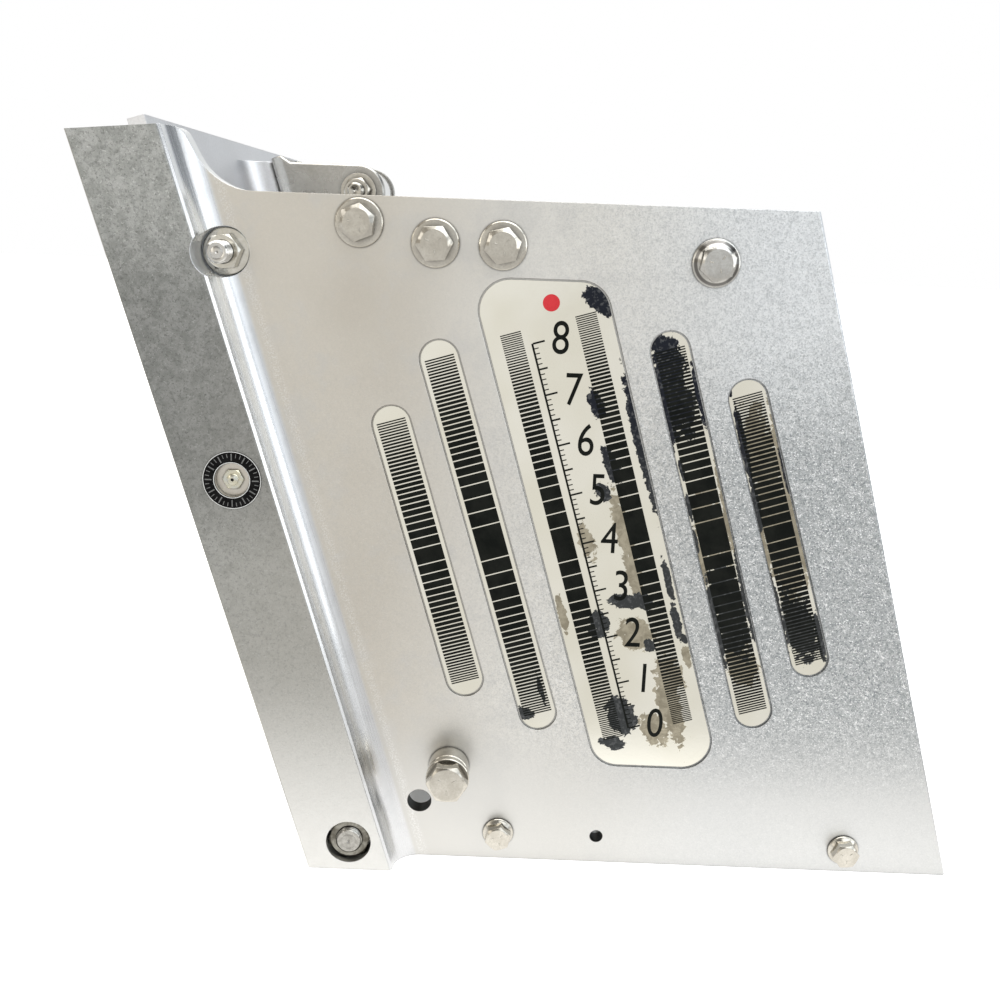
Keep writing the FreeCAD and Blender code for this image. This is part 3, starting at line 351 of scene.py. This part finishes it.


# Painted reflection patches on the vinyl, dark and tan: u = x + z tan(slant), z, half widths, in mm.
DARK = [(112.3, 306, 7.5, 7), (115.5, 301, 3.5, 4), (116.7, 236, 3, 36), (99.4, 254, 4, 8), (97.2, 257, 2.5, 3),
        (99.1, 223, 4.5, 10), (91.7, 209, 4, 5), (90.8, 151, 11.5, 4), (98.4, 152, 5.5, 5), (73.7, 140, 5, 6),
        (70.3, 133, 5, 3), (96.8, 127, 3, 4), (72, 87, 7.5, 12), (63.4, 71, 7, 4), (114.6, 164, 2, 12),
        (113.9, 142, 2.5, 11), (115.9, 132, 2, 3), (19.3, 86, 7.5, 4), (32.5, 100, 1.5, 8), (140, 277, 9.5, 15),
        (134.5, 258, 4, 26), (141, 258, 8, 18), (152, 262, 2, 17), (134.8, 222, 1.4, 6), (134.2, 204, 1.3, 8),
        (133.5, 186, 1.4, 7), (134.3, 142, 2.2, 26), (143.5, 148, 9, 26), (153.5, 156, 2.4, 26),
        (168.3, 148, 2, 26), (178.5, 140, 8.5, 18), (187.8, 137, 2, 15), (167.6, 264, 1.2, 4),
        (169, 236, 2, 22), (169, 205, 2, 16), (187.5, 228, 1.6, 16)]
TAN = [(77.1, 183, 4.5, 10), (97.3, 190, 4.5, 21), (97.8, 167, 4.5, 15), (90.9, 133, 11, 9), (99.8, 94, 6.5, 23),
       (114.6, 122, 2.5, 7), (54.4, 143, 2.5, 11), (104, 112, 8, 10), (88, 80, 8, 10), (143.5, 194, 9, 22),
       (153.5, 202, 2.4, 30), (134.4, 172, 1.8, 16), (143, 118, 9, 12), (177.5, 232, 9, 24), (187, 214, 2.6, 52), (177.5, 196, 9, 44),
       (168.6, 186, 1.6, 20)]


def nearest(t, uz, spots):
    """Distance to the nearest of the spots, 1 at a spot's rim."""
    best = None
    for u, z, ru, rz in spots:
        q = N(t, "VectorMath", {0: uz, 1: (1000.0 / ru, 0, 1000.0 / rz), 2: (-u / ru, 0, -z / rz)},
              operation="MULTIPLY_ADD").outputs["Vector"]
        d = N(t, "VectorMath", {0: q}, operation="LENGTH").outputs["Value"]
        best = d if best is None else math_(t, "MINIMUM", best, d)
    return best


def vinyl_material():
    """Mirror vinyl: cream where it is nearly flat, with ragged dark and tan patches
    of painted reflection where it ripples more, more of them towards the transom."""
    m, t, p, co = new_mat("chrome_vinyl")
    x, y, z = sep(t, co)
    u = math_(t, "ADD", x, math_(t, "MULTIPLY", z, SA / CA))
    uz = N(t, "CombineXYZ", {0: u, 1: 0.0, 2: z}).outputs[0]
    edge = noise(t, co, 210.0, 5.0, 0.66, 0.5)
    edge2 = noise(t, co, 260.0, 5.0, 0.62, 0.6)
    # painted reflection: ragged dark patches
    v = math_(t, "ADD", math_(t, "SUBTRACT", 1.0, nearest(t, uz, DARK)),
              math_(t, "MULTIPLY", math_(t, "SUBTRACT", edge, 0.5), 1.9))
    dark = remap(t, v, 0.0, 0.06)
    # painted reflection: ragged tan patches
    v2 = math_(t, "ADD", math_(t, "SUBTRACT", 1.0, nearest(t, uz, TAN)),
               math_(t, "MULTIPLY", math_(t, "SUBTRACT", edge2, 0.5), 2.0))
    tan = remap(t, v2, 0.0, 0.09)
    flat = mix(t, remap(t, noise(t, co, 30.0, 2.0, 0.5), 0.3, 0.7), rgb(0.85, 0.825, 0.715), rgb(0.91, 0.89, 0.80))
    tc = mix(t, remap(t, edge, 0.35, 0.65), rgb(0.27, 0.235, 0.165), rgb(0.44, 0.395, 0.295))
    c = mix(t, math_(t, "MULTIPLY", tan, 0.90), flat, tc)
    # painted reflection colour of the dark patches, darker and bluer higher up
    deep = mix(t, remap(t, z, 0.18, 0.26), rgb(0.060, 0.064, 0.066), rgb(0.024, 0.027, 0.036))
    deep = mix(t, remap(t, noise(t, co, 420.0, 3.0, 0.6), 0.52, 0.62, 0.0, 0.6), deep, rgb(0.15, 0.155, 0.16))
    c = mix(t, dark, c, deep)
    # painted shade in the narrow gaps at the pocket edges
    c = contact(t, c, 0.0016, 0.45)
    t.links.new(c, p.inputs["Base Color"])
    p.inputs["Metallic"].default_value = 1.0
    t.links.new(remap(t, edge, 0.3, 0.7, 0.07, 0.14), p.inputs["Roughness"])
    reflection_patches = math_(t, "MAXIMUM", dark, tan)
    ripple = math_(t, "MULTIPLY", noise(t, co, 160.0, 3.0, 0.55, 0.8), math_(t, "MAXIMUM", reflection_patches, 0.12))
    bumped(t, p, [(ripple, 0.25, 0.0010)], 0.00015)
    return m


MATS["vinyl"] = vinyl_material()

USE = {
    "side_plate": ["side_plate_port", "side_plate_starboard"],
    "motor_plate": ["motor_plate"],
    "sheet": ["top_cross_brace", "bottom_brace_pan"],
    "bracket": ["lift_bracket"],
    "fastener": ["bottom_brace_bolts", "bottom_brace_nuts", "bracket_pin_nut", "bracket_pin_washers",
                 "cross_shaft_bolts", "cross_shaft_washers", "lift_bracket_bolts",
                 "top_brace_bolts", "top_brace_nuts",
                 "bracket_pin_bolt", "piston_nut"],
    "domed_fastener": ["transom_bar_bolts"],
    "sunk_fastener": ["upper_rail_tie_nuts"],
    "dark_fastener": ["lower_rail_tie_nuts"],
    "bar": ["cylinder_cross_shaft", "lower_rail_tie_rod", "upper_rail_tie_rod", "bracket_pin_sleeve"],
    "spacer": ["lower_rail_spacer_tube", "transom_cross_bar", "upper_rail_spacer_tube"],
    "gland": ["cylinder_gland", "cylinder_piston"],
    "chrome_rod": ["cylinder_rod"],
    "bronze": ["cylinder_eye_bushes", "rod_eye_bush"],
    "zinc": ["grease_fittings", "hose_port_fittings"],
    "paint": ["cylinder_barrel"],
    "rubber": ["piston_seal", "rod_seal", "rod_wiper"],
    "plastic_black": ["cross_shaft_collars"],
    "plastic_white": ["slide_liner_port", "slide_liner_starboard"],
    "label": ["grease_ring_labels"],
    "vinyl": ["scale_decals_port", "scale_decals_starboard"],
}
for key, names in USE.items():
    for n in names:
        o = NODES[n]
        o.data.materials.clear()
        o.data.materials.append(MATS[key])

# ------------------------------------------------------------- new pieces


def add_piece(name, bm, mat, body, smooth=None):
    bmesh.ops.recalc_face_normals(bm, faces=bm.faces)
    me = bpy.data.meshes.new(name)
    bm.to_mesh(me)
    bm.free()
    if smooth is not None:
        for f in me.polygons:
            f.use_smooth = True
        me.set_sharp_from_angle(angle=math.radians(smooth))
    me.materials.append(MATS[mat])
    ob = bpy.data.objects.new(name, me)
    bpy.context.scene.collection.objects.link(ob)
    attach(ob, body)
    return ob


def slab(bm, pts, y0, y1):
    """Thin solid whose outline is a list of (x, z), between two Y values."""
    lo = [bm.verts.new((x, y0, z)) for x, z in pts]
    hi = [bm.verts.new((x, y1, z)) for x, z in pts]
    bm.faces.new(lo)
    bm.faces.new(hi[::-1])
    n = len(pts)
    for i in range(n):
        j = (i + 1) % n
        bm.faces.new((lo[i], hi[i], hi[j], lo[j]))


# ---- striped scales in the four narrow pockets
SLOTS = [((-78.5, 240.2), (-38.0, 105.1)), ((-55.2, 273.9), (1.6, 87.4)),
         ((58.8, 282.2), (116.2, 93.1)), ((99.2, 259.9), (143.2, 123.5))]
GAP = 0.62


def ladder(half, long_one):
    """Distances from the middle at which bars start and end."""
    mid = 8.92 if long_one else 4.17
    bars, s, k = [(-mid, mid)], mid + GAP, 1
    while True:
        wide = (7.86, 7.41, 7.21)[k - 1] if long_one and k <= 3 else None
        pitch = wide or max(5.35 - 1.22 * math.log(k - 3 if long_one else k), 1.05)
        th = pitch - min(GAP, 0.5 * pitch)
        if s + th > half:
            break
        bars += [(s, s + th), (-s - th, -s)]
        s += pitch
        k += 1
    return bars


for side, side_name in ((-1, "starboard"), (1, "port")):
    bm = bmesh.new()
    y0, y1 = side * (VINYL_Y - 0.00002), side * (VINYL_Y + PRINT)
    for i, (p0, p1) in enumerate(SLOTS):
        mx, mz = (p0[0] + p1[0]) / 2, (p0[1] + p1[1]) / 2
        dx, dz = p1[0] - p0[0], p1[1] - p0[1]
        ln = math.hypot(dx, dz)
        ux, uz = dx / ln, dz / ln
        vx, vz = -uz, ux
        for s0, s1 in ladder(ln / 2 + 2.0, i in (1, 2)):
            q = [(s0, -7.5), (s1, -7.5), (s1, 7.5), (s0, 7.5)]
            slab(bm, [((mx + s * ux + w * vx) / 1000, (mz + s * uz + w * vz) / 1000) for s, w in q], y0, y1)
    add_piece("scale_stripes_" + side_name, bm, "print_black", "frame")

# ---- middle scale: a plain ruler with numbers, and even bars that fade out


def centre_xz(a, z):
    """a mm forward of the rails' aft face, z mm above the bottom edge."""
    return ((a - z * SA) / CA + X_FOOT * 1000) / 1000, z / 1000


def glyph_mesh(text, size):
    cu = bpy.data.curves.new("t_" + text, "FONT")
    cu.body = text
    cu.size = size
    cu.align_x, cu.align_y = "CENTER", "CENTER"
    cu.resolution_u = 6
    ob = bpy.data.objects.new("t_" + text, cu)
    bpy.context.scene.collection.objects.link(ob)
    bpy.context.view_layer.update()
    me = bpy.data.meshes.new_from_object(ob.evaluated_get(bpy.context.evaluated_depsgraph_get()))
    bpy.data.objects.remove(ob)
    bpy.data.curves.remove(cu)
    return me


def put_glyphs(bm, me, x0, z0, y0, y1, flip, squeeze=0.8):
    vs = [v.co.copy() for v in me.vertices]
    base = [bm.verts.new((x0 + flip * v.x * squeeze, y0, z0 + v.y)) for v in vs]
    top = [bm.verts.new((x0 + flip * v.x * squeeze, y1, z0 + v.y)) for v in vs]
    count = {}
    for f in me.polygons:
        idx = list(f.vertices)
        bm.faces.new([base[i] for i in idx])
        bm.faces.new([top[i] for i in reversed(idx)])
        for i, j in zip(idx, idx[1:] + idx[:1]):
            key = (min(i, j), max(i, j))
            count.setdefault(key, []).append((i, j))
    for key, uses in count.items():
        if len(uses) == 1:
            i, j = uses[0]
            bm.faces.new((base[i], top[i], top[j], base[j]))


DIGITS = {str(i): glyph_mesh(str(i), 0.0235) for i in range(9)}
C_A0, C_A1, C_Z0, C_Z1 = 162.5, 227.2, 57.5, 315.0
for side, side_name in ((-1, "starboard"), (1, "port")):
    bm = bmesh.new()
    y0, y1 = side * (VINYL_Y - 0.00002), side * (VINYL_Y + PRINT)
    flip = -side

    def mark(a_left, a_right, z_mid, th):
        """Bar square to the slant, th mm thick, its left end at height z_mid."""
        b_mid = (z_mid - a_left * SA) / CA
        pts = [(a_left, b_mid - th / 2), (a_right, b_mid - th / 2), (a_right, b_mid + th / 2), (a_left, b_mid + th / 2)]
        slab(bm, [(slant_pt(a / 1000, b / 1000)) for a, b in pts], y0, y1)

    # a ladder of bars along each long edge, thick in the middle
    mid_a, mid_z = (C_A0 + C_A1) / 2, (C_Z0 + C_Z1) / 2
    mid_b = (mid_z - mid_a * SA) / CA
    for a0, a1 in ((C_A0 + 8.0, C_A0 + 18.5), (C_A1 - 18.5, C_A1 - 8.0)):
        for s0, s1 in ladder(112.0, True):
            q = [(a0, mid_b + s0), (a1, mid_b + s0), (a1, mid_b + s1), (a0, mid_b + s1)]
            slab(bm, [slant_pt(aa / 1000, bb / 1000) for aa, bb in q], y0, y1)
    # plain ruler between them
    ra = C_A0 + 22.5
    b0, b1 = (80.0 - ra * SA) / CA, (80.0 + 203.2 - ra * SA) / CA
    slab(bm, [slant_pt(a / 1000, b / 1000) for a, b in ((ra - 0.5, b0), (ra + 0.5, b0), (ra + 0.5, b1), (ra - 0.5, b1))], y0, y1)
    for n in range(81):
        z = 80.0 + n * 2.54
        ln = 6.4 if n % 10 == 0 else (4.6 if n % 5 == 0 else 2.6)
        mark(ra + 0.4, ra + ln, z, 0.9 if n % 5 == 0 else 0.5)
        if n % 10 == 0:
            gx, gz = centre_xz(ra + 14.2, z + 2.6)
            put_glyphs(bm, DIGITS[str(n // 10)], gx, gz, y0, y1, flip)
    add_piece("scale_ruler_" + side_name, bm, "print_black", "frame")
    bm = bmesh.new()
    cx, cz = centre_xz(C_A0 + 36.5, 303.5)
    slab(bm, [(cx + 0.0042 * math.cos(2 * math.pi * i / 40), cz + 0.0042 * math.sin(2 * math.pi * i / 40))
              for i in range(40)], y0, y1)
    add_piece("scale_dot_" + side_name, bm, "print_red", "frame")
for me in DIGITS.values():
    bpy.data.meshes.remove(me)

# ---- plain graduation round the grease fitting
GREASE = (-0.1554, 0.2124)
bm = bmesh.new()
for side in (-1, 1):
    y0, y1 = side * (Y_RAIL + 0.00028), side * (Y_RAIL + 0.0003 + 0.00007)
    for i in range(36):
        ang = 2 * math.pi * i / 36
        r0, r1 = (0.0100, 0.0134) if i % 3 == 0 else (0.0114, 0.0134)
        w = 0.00030 if i % 3 == 0 else 0.00018
        c, s = math.cos(ang), math.sin(ang)
        pts = [(r0, -w), (r1, -w), (r1, w), (r0, w)]
        slab(bm, [(GREASE[0] + r * c - v * s, GREASE[1] + r * s + v * c) for r, v in pts], y0, y1)
add_piece("grease_ring_graduation", bm, "print_grey", "frame")
bm = bmesh.new()
for side in (-1, 1):
    y0, y1 = side * (Y_RAIL + 0.00028), side * (Y_RAIL + 0.0003 + 0.00006)
    for r0, r1 in ((0.00880, 0.00915), (0.01415, 0.01450)):
        rows = []
        for r, y in ((r0, y0), (r0, y1), (r1, y1), (r1, y0)):
            rows.append([bm.verts.new((GREASE[0] + r * math.cos(2 * math.pi * i / 72), y,
                                       GREASE[1] + r * math.sin(2 * math.pi * i / 72))) for i in range(72)])
        for i in range(72):
            j = (i + 1) % 72
            for a, b in ((0, 1), (1, 2), (2, 3), (3, 0)):
                bm.faces.new((rows[a][i], rows[a][j], rows[b][j], rows[b][i]))
add_piece("grease_ring_rims", bm, "print_white", "frame")

# ---- studs with real threads and turned ends


def ring_mesh(bm, rings, seg):
    """Rings are lists of seg points; the first and last close to a point."""
    rows = []
    for r in rings:
        if len(r) == 1:
            rows.append([bm.verts.new(r[0])])
        else:
            rows.append([bm.verts.new(p) for p in r])
    for a, b in zip(rows, rows[1:]):
        for i in range(seg):
            j = (i + 1) % seg
            if len(a) == 1:
                bm.faces.new((a[0], b[i], b[j]))
            elif len(b) == 1:
                bm.faces.new((a[i], b[0], a[j]))
            else:
                bm.faces.new((a[i], b[i], b[j], a[j]))


def thread_profile(u):
    """0 at the crest and 1 at the root, over one turn."""
    u = u % 1.0
    d = abs(u - 0.5) * 2.0
    return min(1.0, max(0.0, (d - 0.12) / 0.76))


def stud_mesh(bm, d, half, pitch, threaded, x, z, centre_mark=0.11, seg=40):
    """Stud along Y through (x, z) with threads at both ends."""
    r = d / 2
    depth = pitch * 0.55
    tip = 0.0012
    ys = []
    y = half
    step = pitch / 7
    while y > half - threaded:
        ys.append(y)
        y -= step
    ys = [v for v in ys] + [half - threaded - 0.0004]
    left = [-v for v in reversed(ys)]
    rings = []

    def circle(y, fr):
        return [(x + fr(i) * math.cos(2 * math.pi * i / seg), y, z + fr(i) * math.sin(2 * math.pi * i / seg))
                for i in range(seg)]

    def rad(y, i):
        inward = half - abs(y)
        base = min(r, r - tip * 0.9 + inward)
        if inward <= threaded:
            fade = min(1.0, max(0.0, (threaded - inward) / (pitch * 1.5)))
            return min(base, r - depth * fade * thread_profile(y / pitch - i / seg))
        return r

    def cap(sign):
        e = sign * half
        rt = r - tip * 0.9
        return [[(x, e - sign * 0.0009, z)],
                circle(e - sign * 0.00015, lambda i: r * centre_mark * 1.0),
                circle(e, lambda i: r * centre_mark * 1.25),
                circle(e + 0.0, lambda i: rt * 0.62),
                circle(e - sign * 0.00012, lambda i: rt * 0.66),
                circle(e, lambda i: rt * 0.70),
                circle(e, lambda i: rt * 0.96)]

    rings += cap(1)
    for v in ys:
        rings.append(circle(v, lambda i, v=v: rad(v, i)))
    for v in left:
        rings.append(circle(v, lambda i, v=v: rad(v, i)))
    rings += cap(-1)[::-1]
    ring_mesh(bm, rings, seg)


for name, node, d, half, pitch, length, pos in (
        ("upper_rail_stud", "upper_rail_tie_rod", 0.0111, 0.2044, 0.00127, 0.030, (-0.1608, 0.3225)),
        ("lower_rail_stud", "lower_rail_tie_rod", 0.01429, 0.2052, 0.00141, 0.022, (-0.0970, 0.0161))):
    bm = bmesh.new()
    stud_mesh(bm, d - 0.00004, half, pitch, length, *pos)
    ob = add_piece(name, bm, "dark_bar" if name == "lower_rail_stud" else "bar", "frame", smooth=38)
    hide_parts(node)

# ---- pin bolt of the lift bracket: hex head to port, threaded end to starboard


def hex_head_rings(af, h, y_seat, x, z, sign, seg=72, turn=10.0):
    """Rings of a hex head whose corners are turned off, seat towards the shank."""
    drop = 0.16 * af * 0.5774
    r0 = af / 2 * 0.97

    def rr(i, hh):
        th = (math.degrees(2 * math.pi * i / seg) - turn) % 60.0
        hexr = af / 2 / math.cos(math.radians(th - 30.0))
        cone = r0 + (h - hh) / math.tan(math.radians(30.0))
        return min(hexr, cone)

    def ring(hh, f):
        return [(x + f(i) * math.cos(2 * math.pi * i / seg), y_seat + sign * hh,
                 z + f(i) * math.sin(2 * math.pi * i / seg)) for i in range(seg)]

    rings = [ring(0.0, lambda i: rr(i, 0.0))]
    for s in (0.0, 0.2, 0.4, 0.6, 0.8, 1.0):
        hh = h - drop + s * drop
        rings.append(ring(hh, lambda i, hh=hh: rr(i, hh)))
    rings.append(ring(h, lambda i: af * 0.36))
    rings.append(ring(h - 0.0003, lambda i: af * 0.34))
    rings.append([(x, y_seat + sign * (h - 0.0003), z)])
    return rings


sleeve_lo, sleeve_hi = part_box("bracket_pin_sleeve")
ex, ez = (sleeve_lo.x + sleeve_hi.x) / 2, (sleeve_lo.z + sleeve_hi.z) / 2
bm = bmesh.new()
pr = 0.00953 / 2 - 0.00003
seat = 0.0342
lo_pin, hi_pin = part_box("bracket_pin_bolt")
end = lo_pin.y
seg = 72
rings = [[(ex, end + 0.0008, ez)]]


def pin_ring(y, f):
    return [(ex + f(i) * math.cos(2 * math.pi * i / seg), y, ez + f(i) * math.sin(2 * math.pi * i / seg))
            for i in range(seg)]


rings.append(pin_ring(end + 0.0001, lambda i: pr * 0.13))
rings.append(pin_ring(end, lambda i: pr * 0.17))
rings.append(pin_ring(end, lambda i: pr - 0.0009))
P_PITCH, P_LEN = 0.00106, 0.0150
y = end + 0.0001
while y < end + P_LEN:
    rings.append(pin_ring(y, lambda i, y=y: min(pr - 0.0009 + (y - end), pr - P_PITCH * 0.52 * min(
        1.0, (end + P_LEN - y) / 0.0015) * thread_profile(y / P_PITCH - i / seg))))
    y += P_PITCH / 7
rings.append(pin_ring(end + P_LEN + 0.0002, lambda i: pr))
rings.append(pin_ring(seat - 0.0003, lambda i: pr))
rings.append(pin_ring(seat, lambda i: pr + 0.0003))
rings += hex_head_rings(0.0143, 0.0062, seat, ex, ez, 1)
ring_mesh(bm, rings, seg)
ob = add_piece("bracket_pin_threaded_bolt", bm, "fastener", "motor_carriage", smooth=35)
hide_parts("bracket_pin_bolt")

# ---- raised radial ticks on the bolt heads
bm = bmesh.new()
HEADS = [(-95.4, 338.5, 11.2, 15.9, 22.0), (-58.4, 330.0, 11.2, 15.9, 4.0), (-25.6, 330.0, 11.2, 15.9, 14.0),
         (-17.1, 15.6, 8.2, 12.5, 18.0), (172.4, 13.2, 8.2, 12.5, 6.0), (-45.0, 54.6, 16.0 + 7.2, 19.05, 0.0),
         (77.9, 325.4, 8.2, 15.9, 20.0)]
for hx, hz, hh, af, turn in HEADS:
    for side in (-1, 1):
        y0 = side * (Y_PANEL * 1000 + hh - 0.02) / 1000
        y1 = side * (Y_PANEL * 1000 + hh + 0.14) / 1000
        for k in range(3):
            ang = math.radians(turn + 30 + 120 * k)
            c, s = math.cos(ang), math.sin(ang)
            pts = []
            r_in, r_out, w = af * 0.17, af * 0.29, af * 0.017
            for (r, v) in ((r_in, -w), (r_out, -w), (r_out + w * 0.6, 0), (r_out, w), (r_in, w), (r_in - w * 0.6, 0)):
                pts.append(((hx + (r * c - v * s)) / 1000, (hz + (r * s + v * c)) / 1000))
            slab(bm, pts, y0, y1)
add_piece("bolt_head_ticks", bm, "fastener", "frame")

# ------------------------------------------------------- floor, light, camera
me = bpy.data.meshes.new("studio_floor")
s = 8.0
me.from_pydata([(-s, -s, -0.0004), (s, -s, -0.0004), (s, s, -0.0004), (-s, s, -0.0004)], [], [(0, 1, 2, 3)])
floor = bpy.data.objects.new("studio_floor", me)
bpy.context.scene.collection.objects.link(floor)
fm = bpy.data.materials.new("pale_floor")
fm.use_nodes = True
t = fm.node_tree
t.nodes.clear()
out = N(t, "OutputMaterial")
dif = N(t, "BsdfDiffuse", {"Color": rgb(0.90, 0.90, 0.89)})
# what the floor throws back: brightest just outside the footprint, falling off, and dimmed under the object as a
# painted shadow
fx, fy, fz = sep(t, N(t, "TexCoord").outputs["Object"])
dist = math_(t, "MAXIMUM", math_(t, "SUBTRACT", math_(t, "ABSOLUTE", fx), 0.23),
             math_(t, "SUBTRACT", math_(t, "ABSOLUTE", fy), 0.19))
far = remap(t, fx, -0.35, 0.45, 0.86, 0.78)
glow = remap(t, dist, 0.04, 0.20)
glow = math_(t, "ADD", math_(t, "MULTIPLY", math_(t, "SUBTRACT", 1.0, glow), 1.46), math_(t, "MULTIPLY", glow, far))
# painted shadow: the glow thrown back is dimmed under the object
under = remap(t, dist, -0.03, 0.01, 0.16, 1.0)
bounce = N(t, "Emission", {"Color": rgb(1.0, 0.99, 0.97), "Strength": math_(t, "MULTIPLY", glow, under)})
# seen by the camera the floor glows evenly white except under the object, where the missing glow is a painted shadow
inside = math_(t, "MAXIMUM", math_(t, "SUBTRACT", math_(t, "ABSOLUTE", math_(t, "SUBTRACT", fx, 0.056)), 0.174),
               math_(t, "SUBTRACT", math_(t, "ABSOLUTE", fy), 0.19))
emi = N(t, "Emission", {"Color": rgb(1.0, 1.0, 1.0), "Strength": remap(t, inside, -0.02, -0.002, 0.0, 0.95)})
add = N(t, "AddShader", {0: dif.outputs[0], 1: emi.outputs[0]})
lp = N(t, "LightPath").outputs["Is Camera Ray"]
ms = N(t, "MixShader", {0: lp, 1: bounce.outputs[0], 2: add.outputs[0]})
t.links.new(ms.outputs[0], out.inputs[0])
fm.cycles.emission_sampling = "NONE"
me.materials.append(fm)

world = bpy.data.worlds.new("studio")
bpy.context.scene.world = world
world.use_nodes = True
t = world.node_tree
t.nodes.clear()
out = N(t, "OutputWorld")
co = N(t, "TexCoord").outputs["Generated"]
x, y, z = sep(t, co)
front = remap(t, y, -0.30, -0.85)
back = remap(t, y, 0.30, 0.90)
level = math_(t, "ADD", 0.52, math_(t, "MULTIPLY", front, 0.34))
level = math_(t, "ADD", level, math_(t, "MULTIPLY", back, 0.30))
ahead = remap(t, y, 0.10, -0.20)


def strip(xc, w, h):
    """Soft upright light panel ahead of the part, h bright at its middle."""
    off = math_(t, "ABSOLUTE", math_(t, "SUBTRACT", x, xc))
    return math_(t, "MULTIPLY", ahead, remap(t, off, w, 0.0, 0.0, h))


for xc, w, h in ((0.66, 0.17, 1.0), (-0.64, 0.17, 0.8)):
    level = math_(t, "ADD", level, strip(xc, w, h))
level = math_(t, "ADD", level, remap(t, x, 0.90, 0.97, 0.0, 0.75))
level = math_(t, "MULTIPLY", level, remap(t, z, 0.14, 0.42, 1.0, 0.36))
level = math_(t, "ADD", level, remap(t, z, 0.60, 0.97, 0.0, 1.0))
spot = dot(t, co, (0.40, -0.60, 0.69))
level = math_(t, "ADD", level, remap(t, spot, 0.86, 0.96, 0.0, 1.9))
grey = N(t, "CombineXYZ", {0: level, 1: level, 2: level}).outputs[0]
side_tint = mix(t, remap(t, x, -0.8, 0.8), rgb(1.06, 1.0, 0.90), rgb(0.94, 1.0, 1.06))
tinted = mix(t, 1.0, grey, side_tint, "MULTIPLY")
bg1 = N(t, "Background", {"Color": tinted, "Strength": 1.0})
bg2 = N(t, "Background", {"Color": rgb(1, 1, 1), "Strength": 1.0})
lp = N(t, "LightPath").outputs["Is Camera Ray"]
ms = N(t, "MixShader", {0: lp, 1: bg1.outputs[0], 2: bg2.outputs[0]})
t.links.new(ms.outputs[0], out.inputs[0])


def area(name, loc, target, sx, sy, power, col=(1, 1, 1)):
    la = bpy.data.lights.new(name, "AREA")
    la.shape = "RECTANGLE"
    la.size, la.size_y = sx, sy
    la.energy = power
    la.color = col
    ob = bpy.data.objects.new(name, la)
    ob.location = loc
    ob.rotation_euler = (Vector(target) - Vector(loc)).to_track_quat("-Z", "Y").to_euler()
    bpy.context.scene.collection.objects.link(ob)
    return ob


area("softbox_top", (0.0, -0.1, 1.5), (0, 0, 0), 1.4, 1.4, 12.0)
area("softbox_right", (1.3, -0.75, 0.55), (0, -0.1, 0.2), 0.6, 0.9, 3.2, (0.97, 0.99, 1.0))
area("softbox_left", (-1.2, -1.0, 0.9), (0, -0.1, 0.2), 0.6, 0.6, 1.6, (1.0, 0.97, 0.93))

cam_data = bpy.data.cameras.new("camera")
cam = bpy.data.objects.new("camera", cam_data)
bpy.context.scene.collection.objects.link(cam)
bpy.context.scene.camera = cam
cam_data.sensor_fit = "HORIZONTAL"
cam_data.sensor_width = 36.0
cam_data.sensor_height = 36.0
cam_data.lens = 40.62
cam_data.clip_start, cam_data.clip_end = 0.01, 50.0
ry, rx, rz = math.radians(0.3), math.radians(13.62), math.radians(2.16)
R = Matrix.Rotation(rz, 3, "Z") @ Matrix.Rotation(ry, 3, "Y") @ Matrix.Rotation(rx, 3, "X")
M = Matrix((
    (R[0][0], R[0][2], -R[0][1]),
    (R[1][0], R[1][2], -R[1][1]),
    (R[2][0], R[2][2], -R[2][1])))
rot = (Matrix(((1, 0, 0), (0, -1, 0), (0, 0, -1))) @ M).transposed()
cam.matrix_world = Matrix.Translation((-0.0196, -0.7487, 0.3390)) @ rot.to_4x4()

bpy.context.scene.view_settings.view_transform = "Standard"
bpy.context.scene.view_settings.look = "None"
bpy.context.scene.view_settings.exposure = 0.0
bpy.context.scene.view_settings.gamma = 1.0
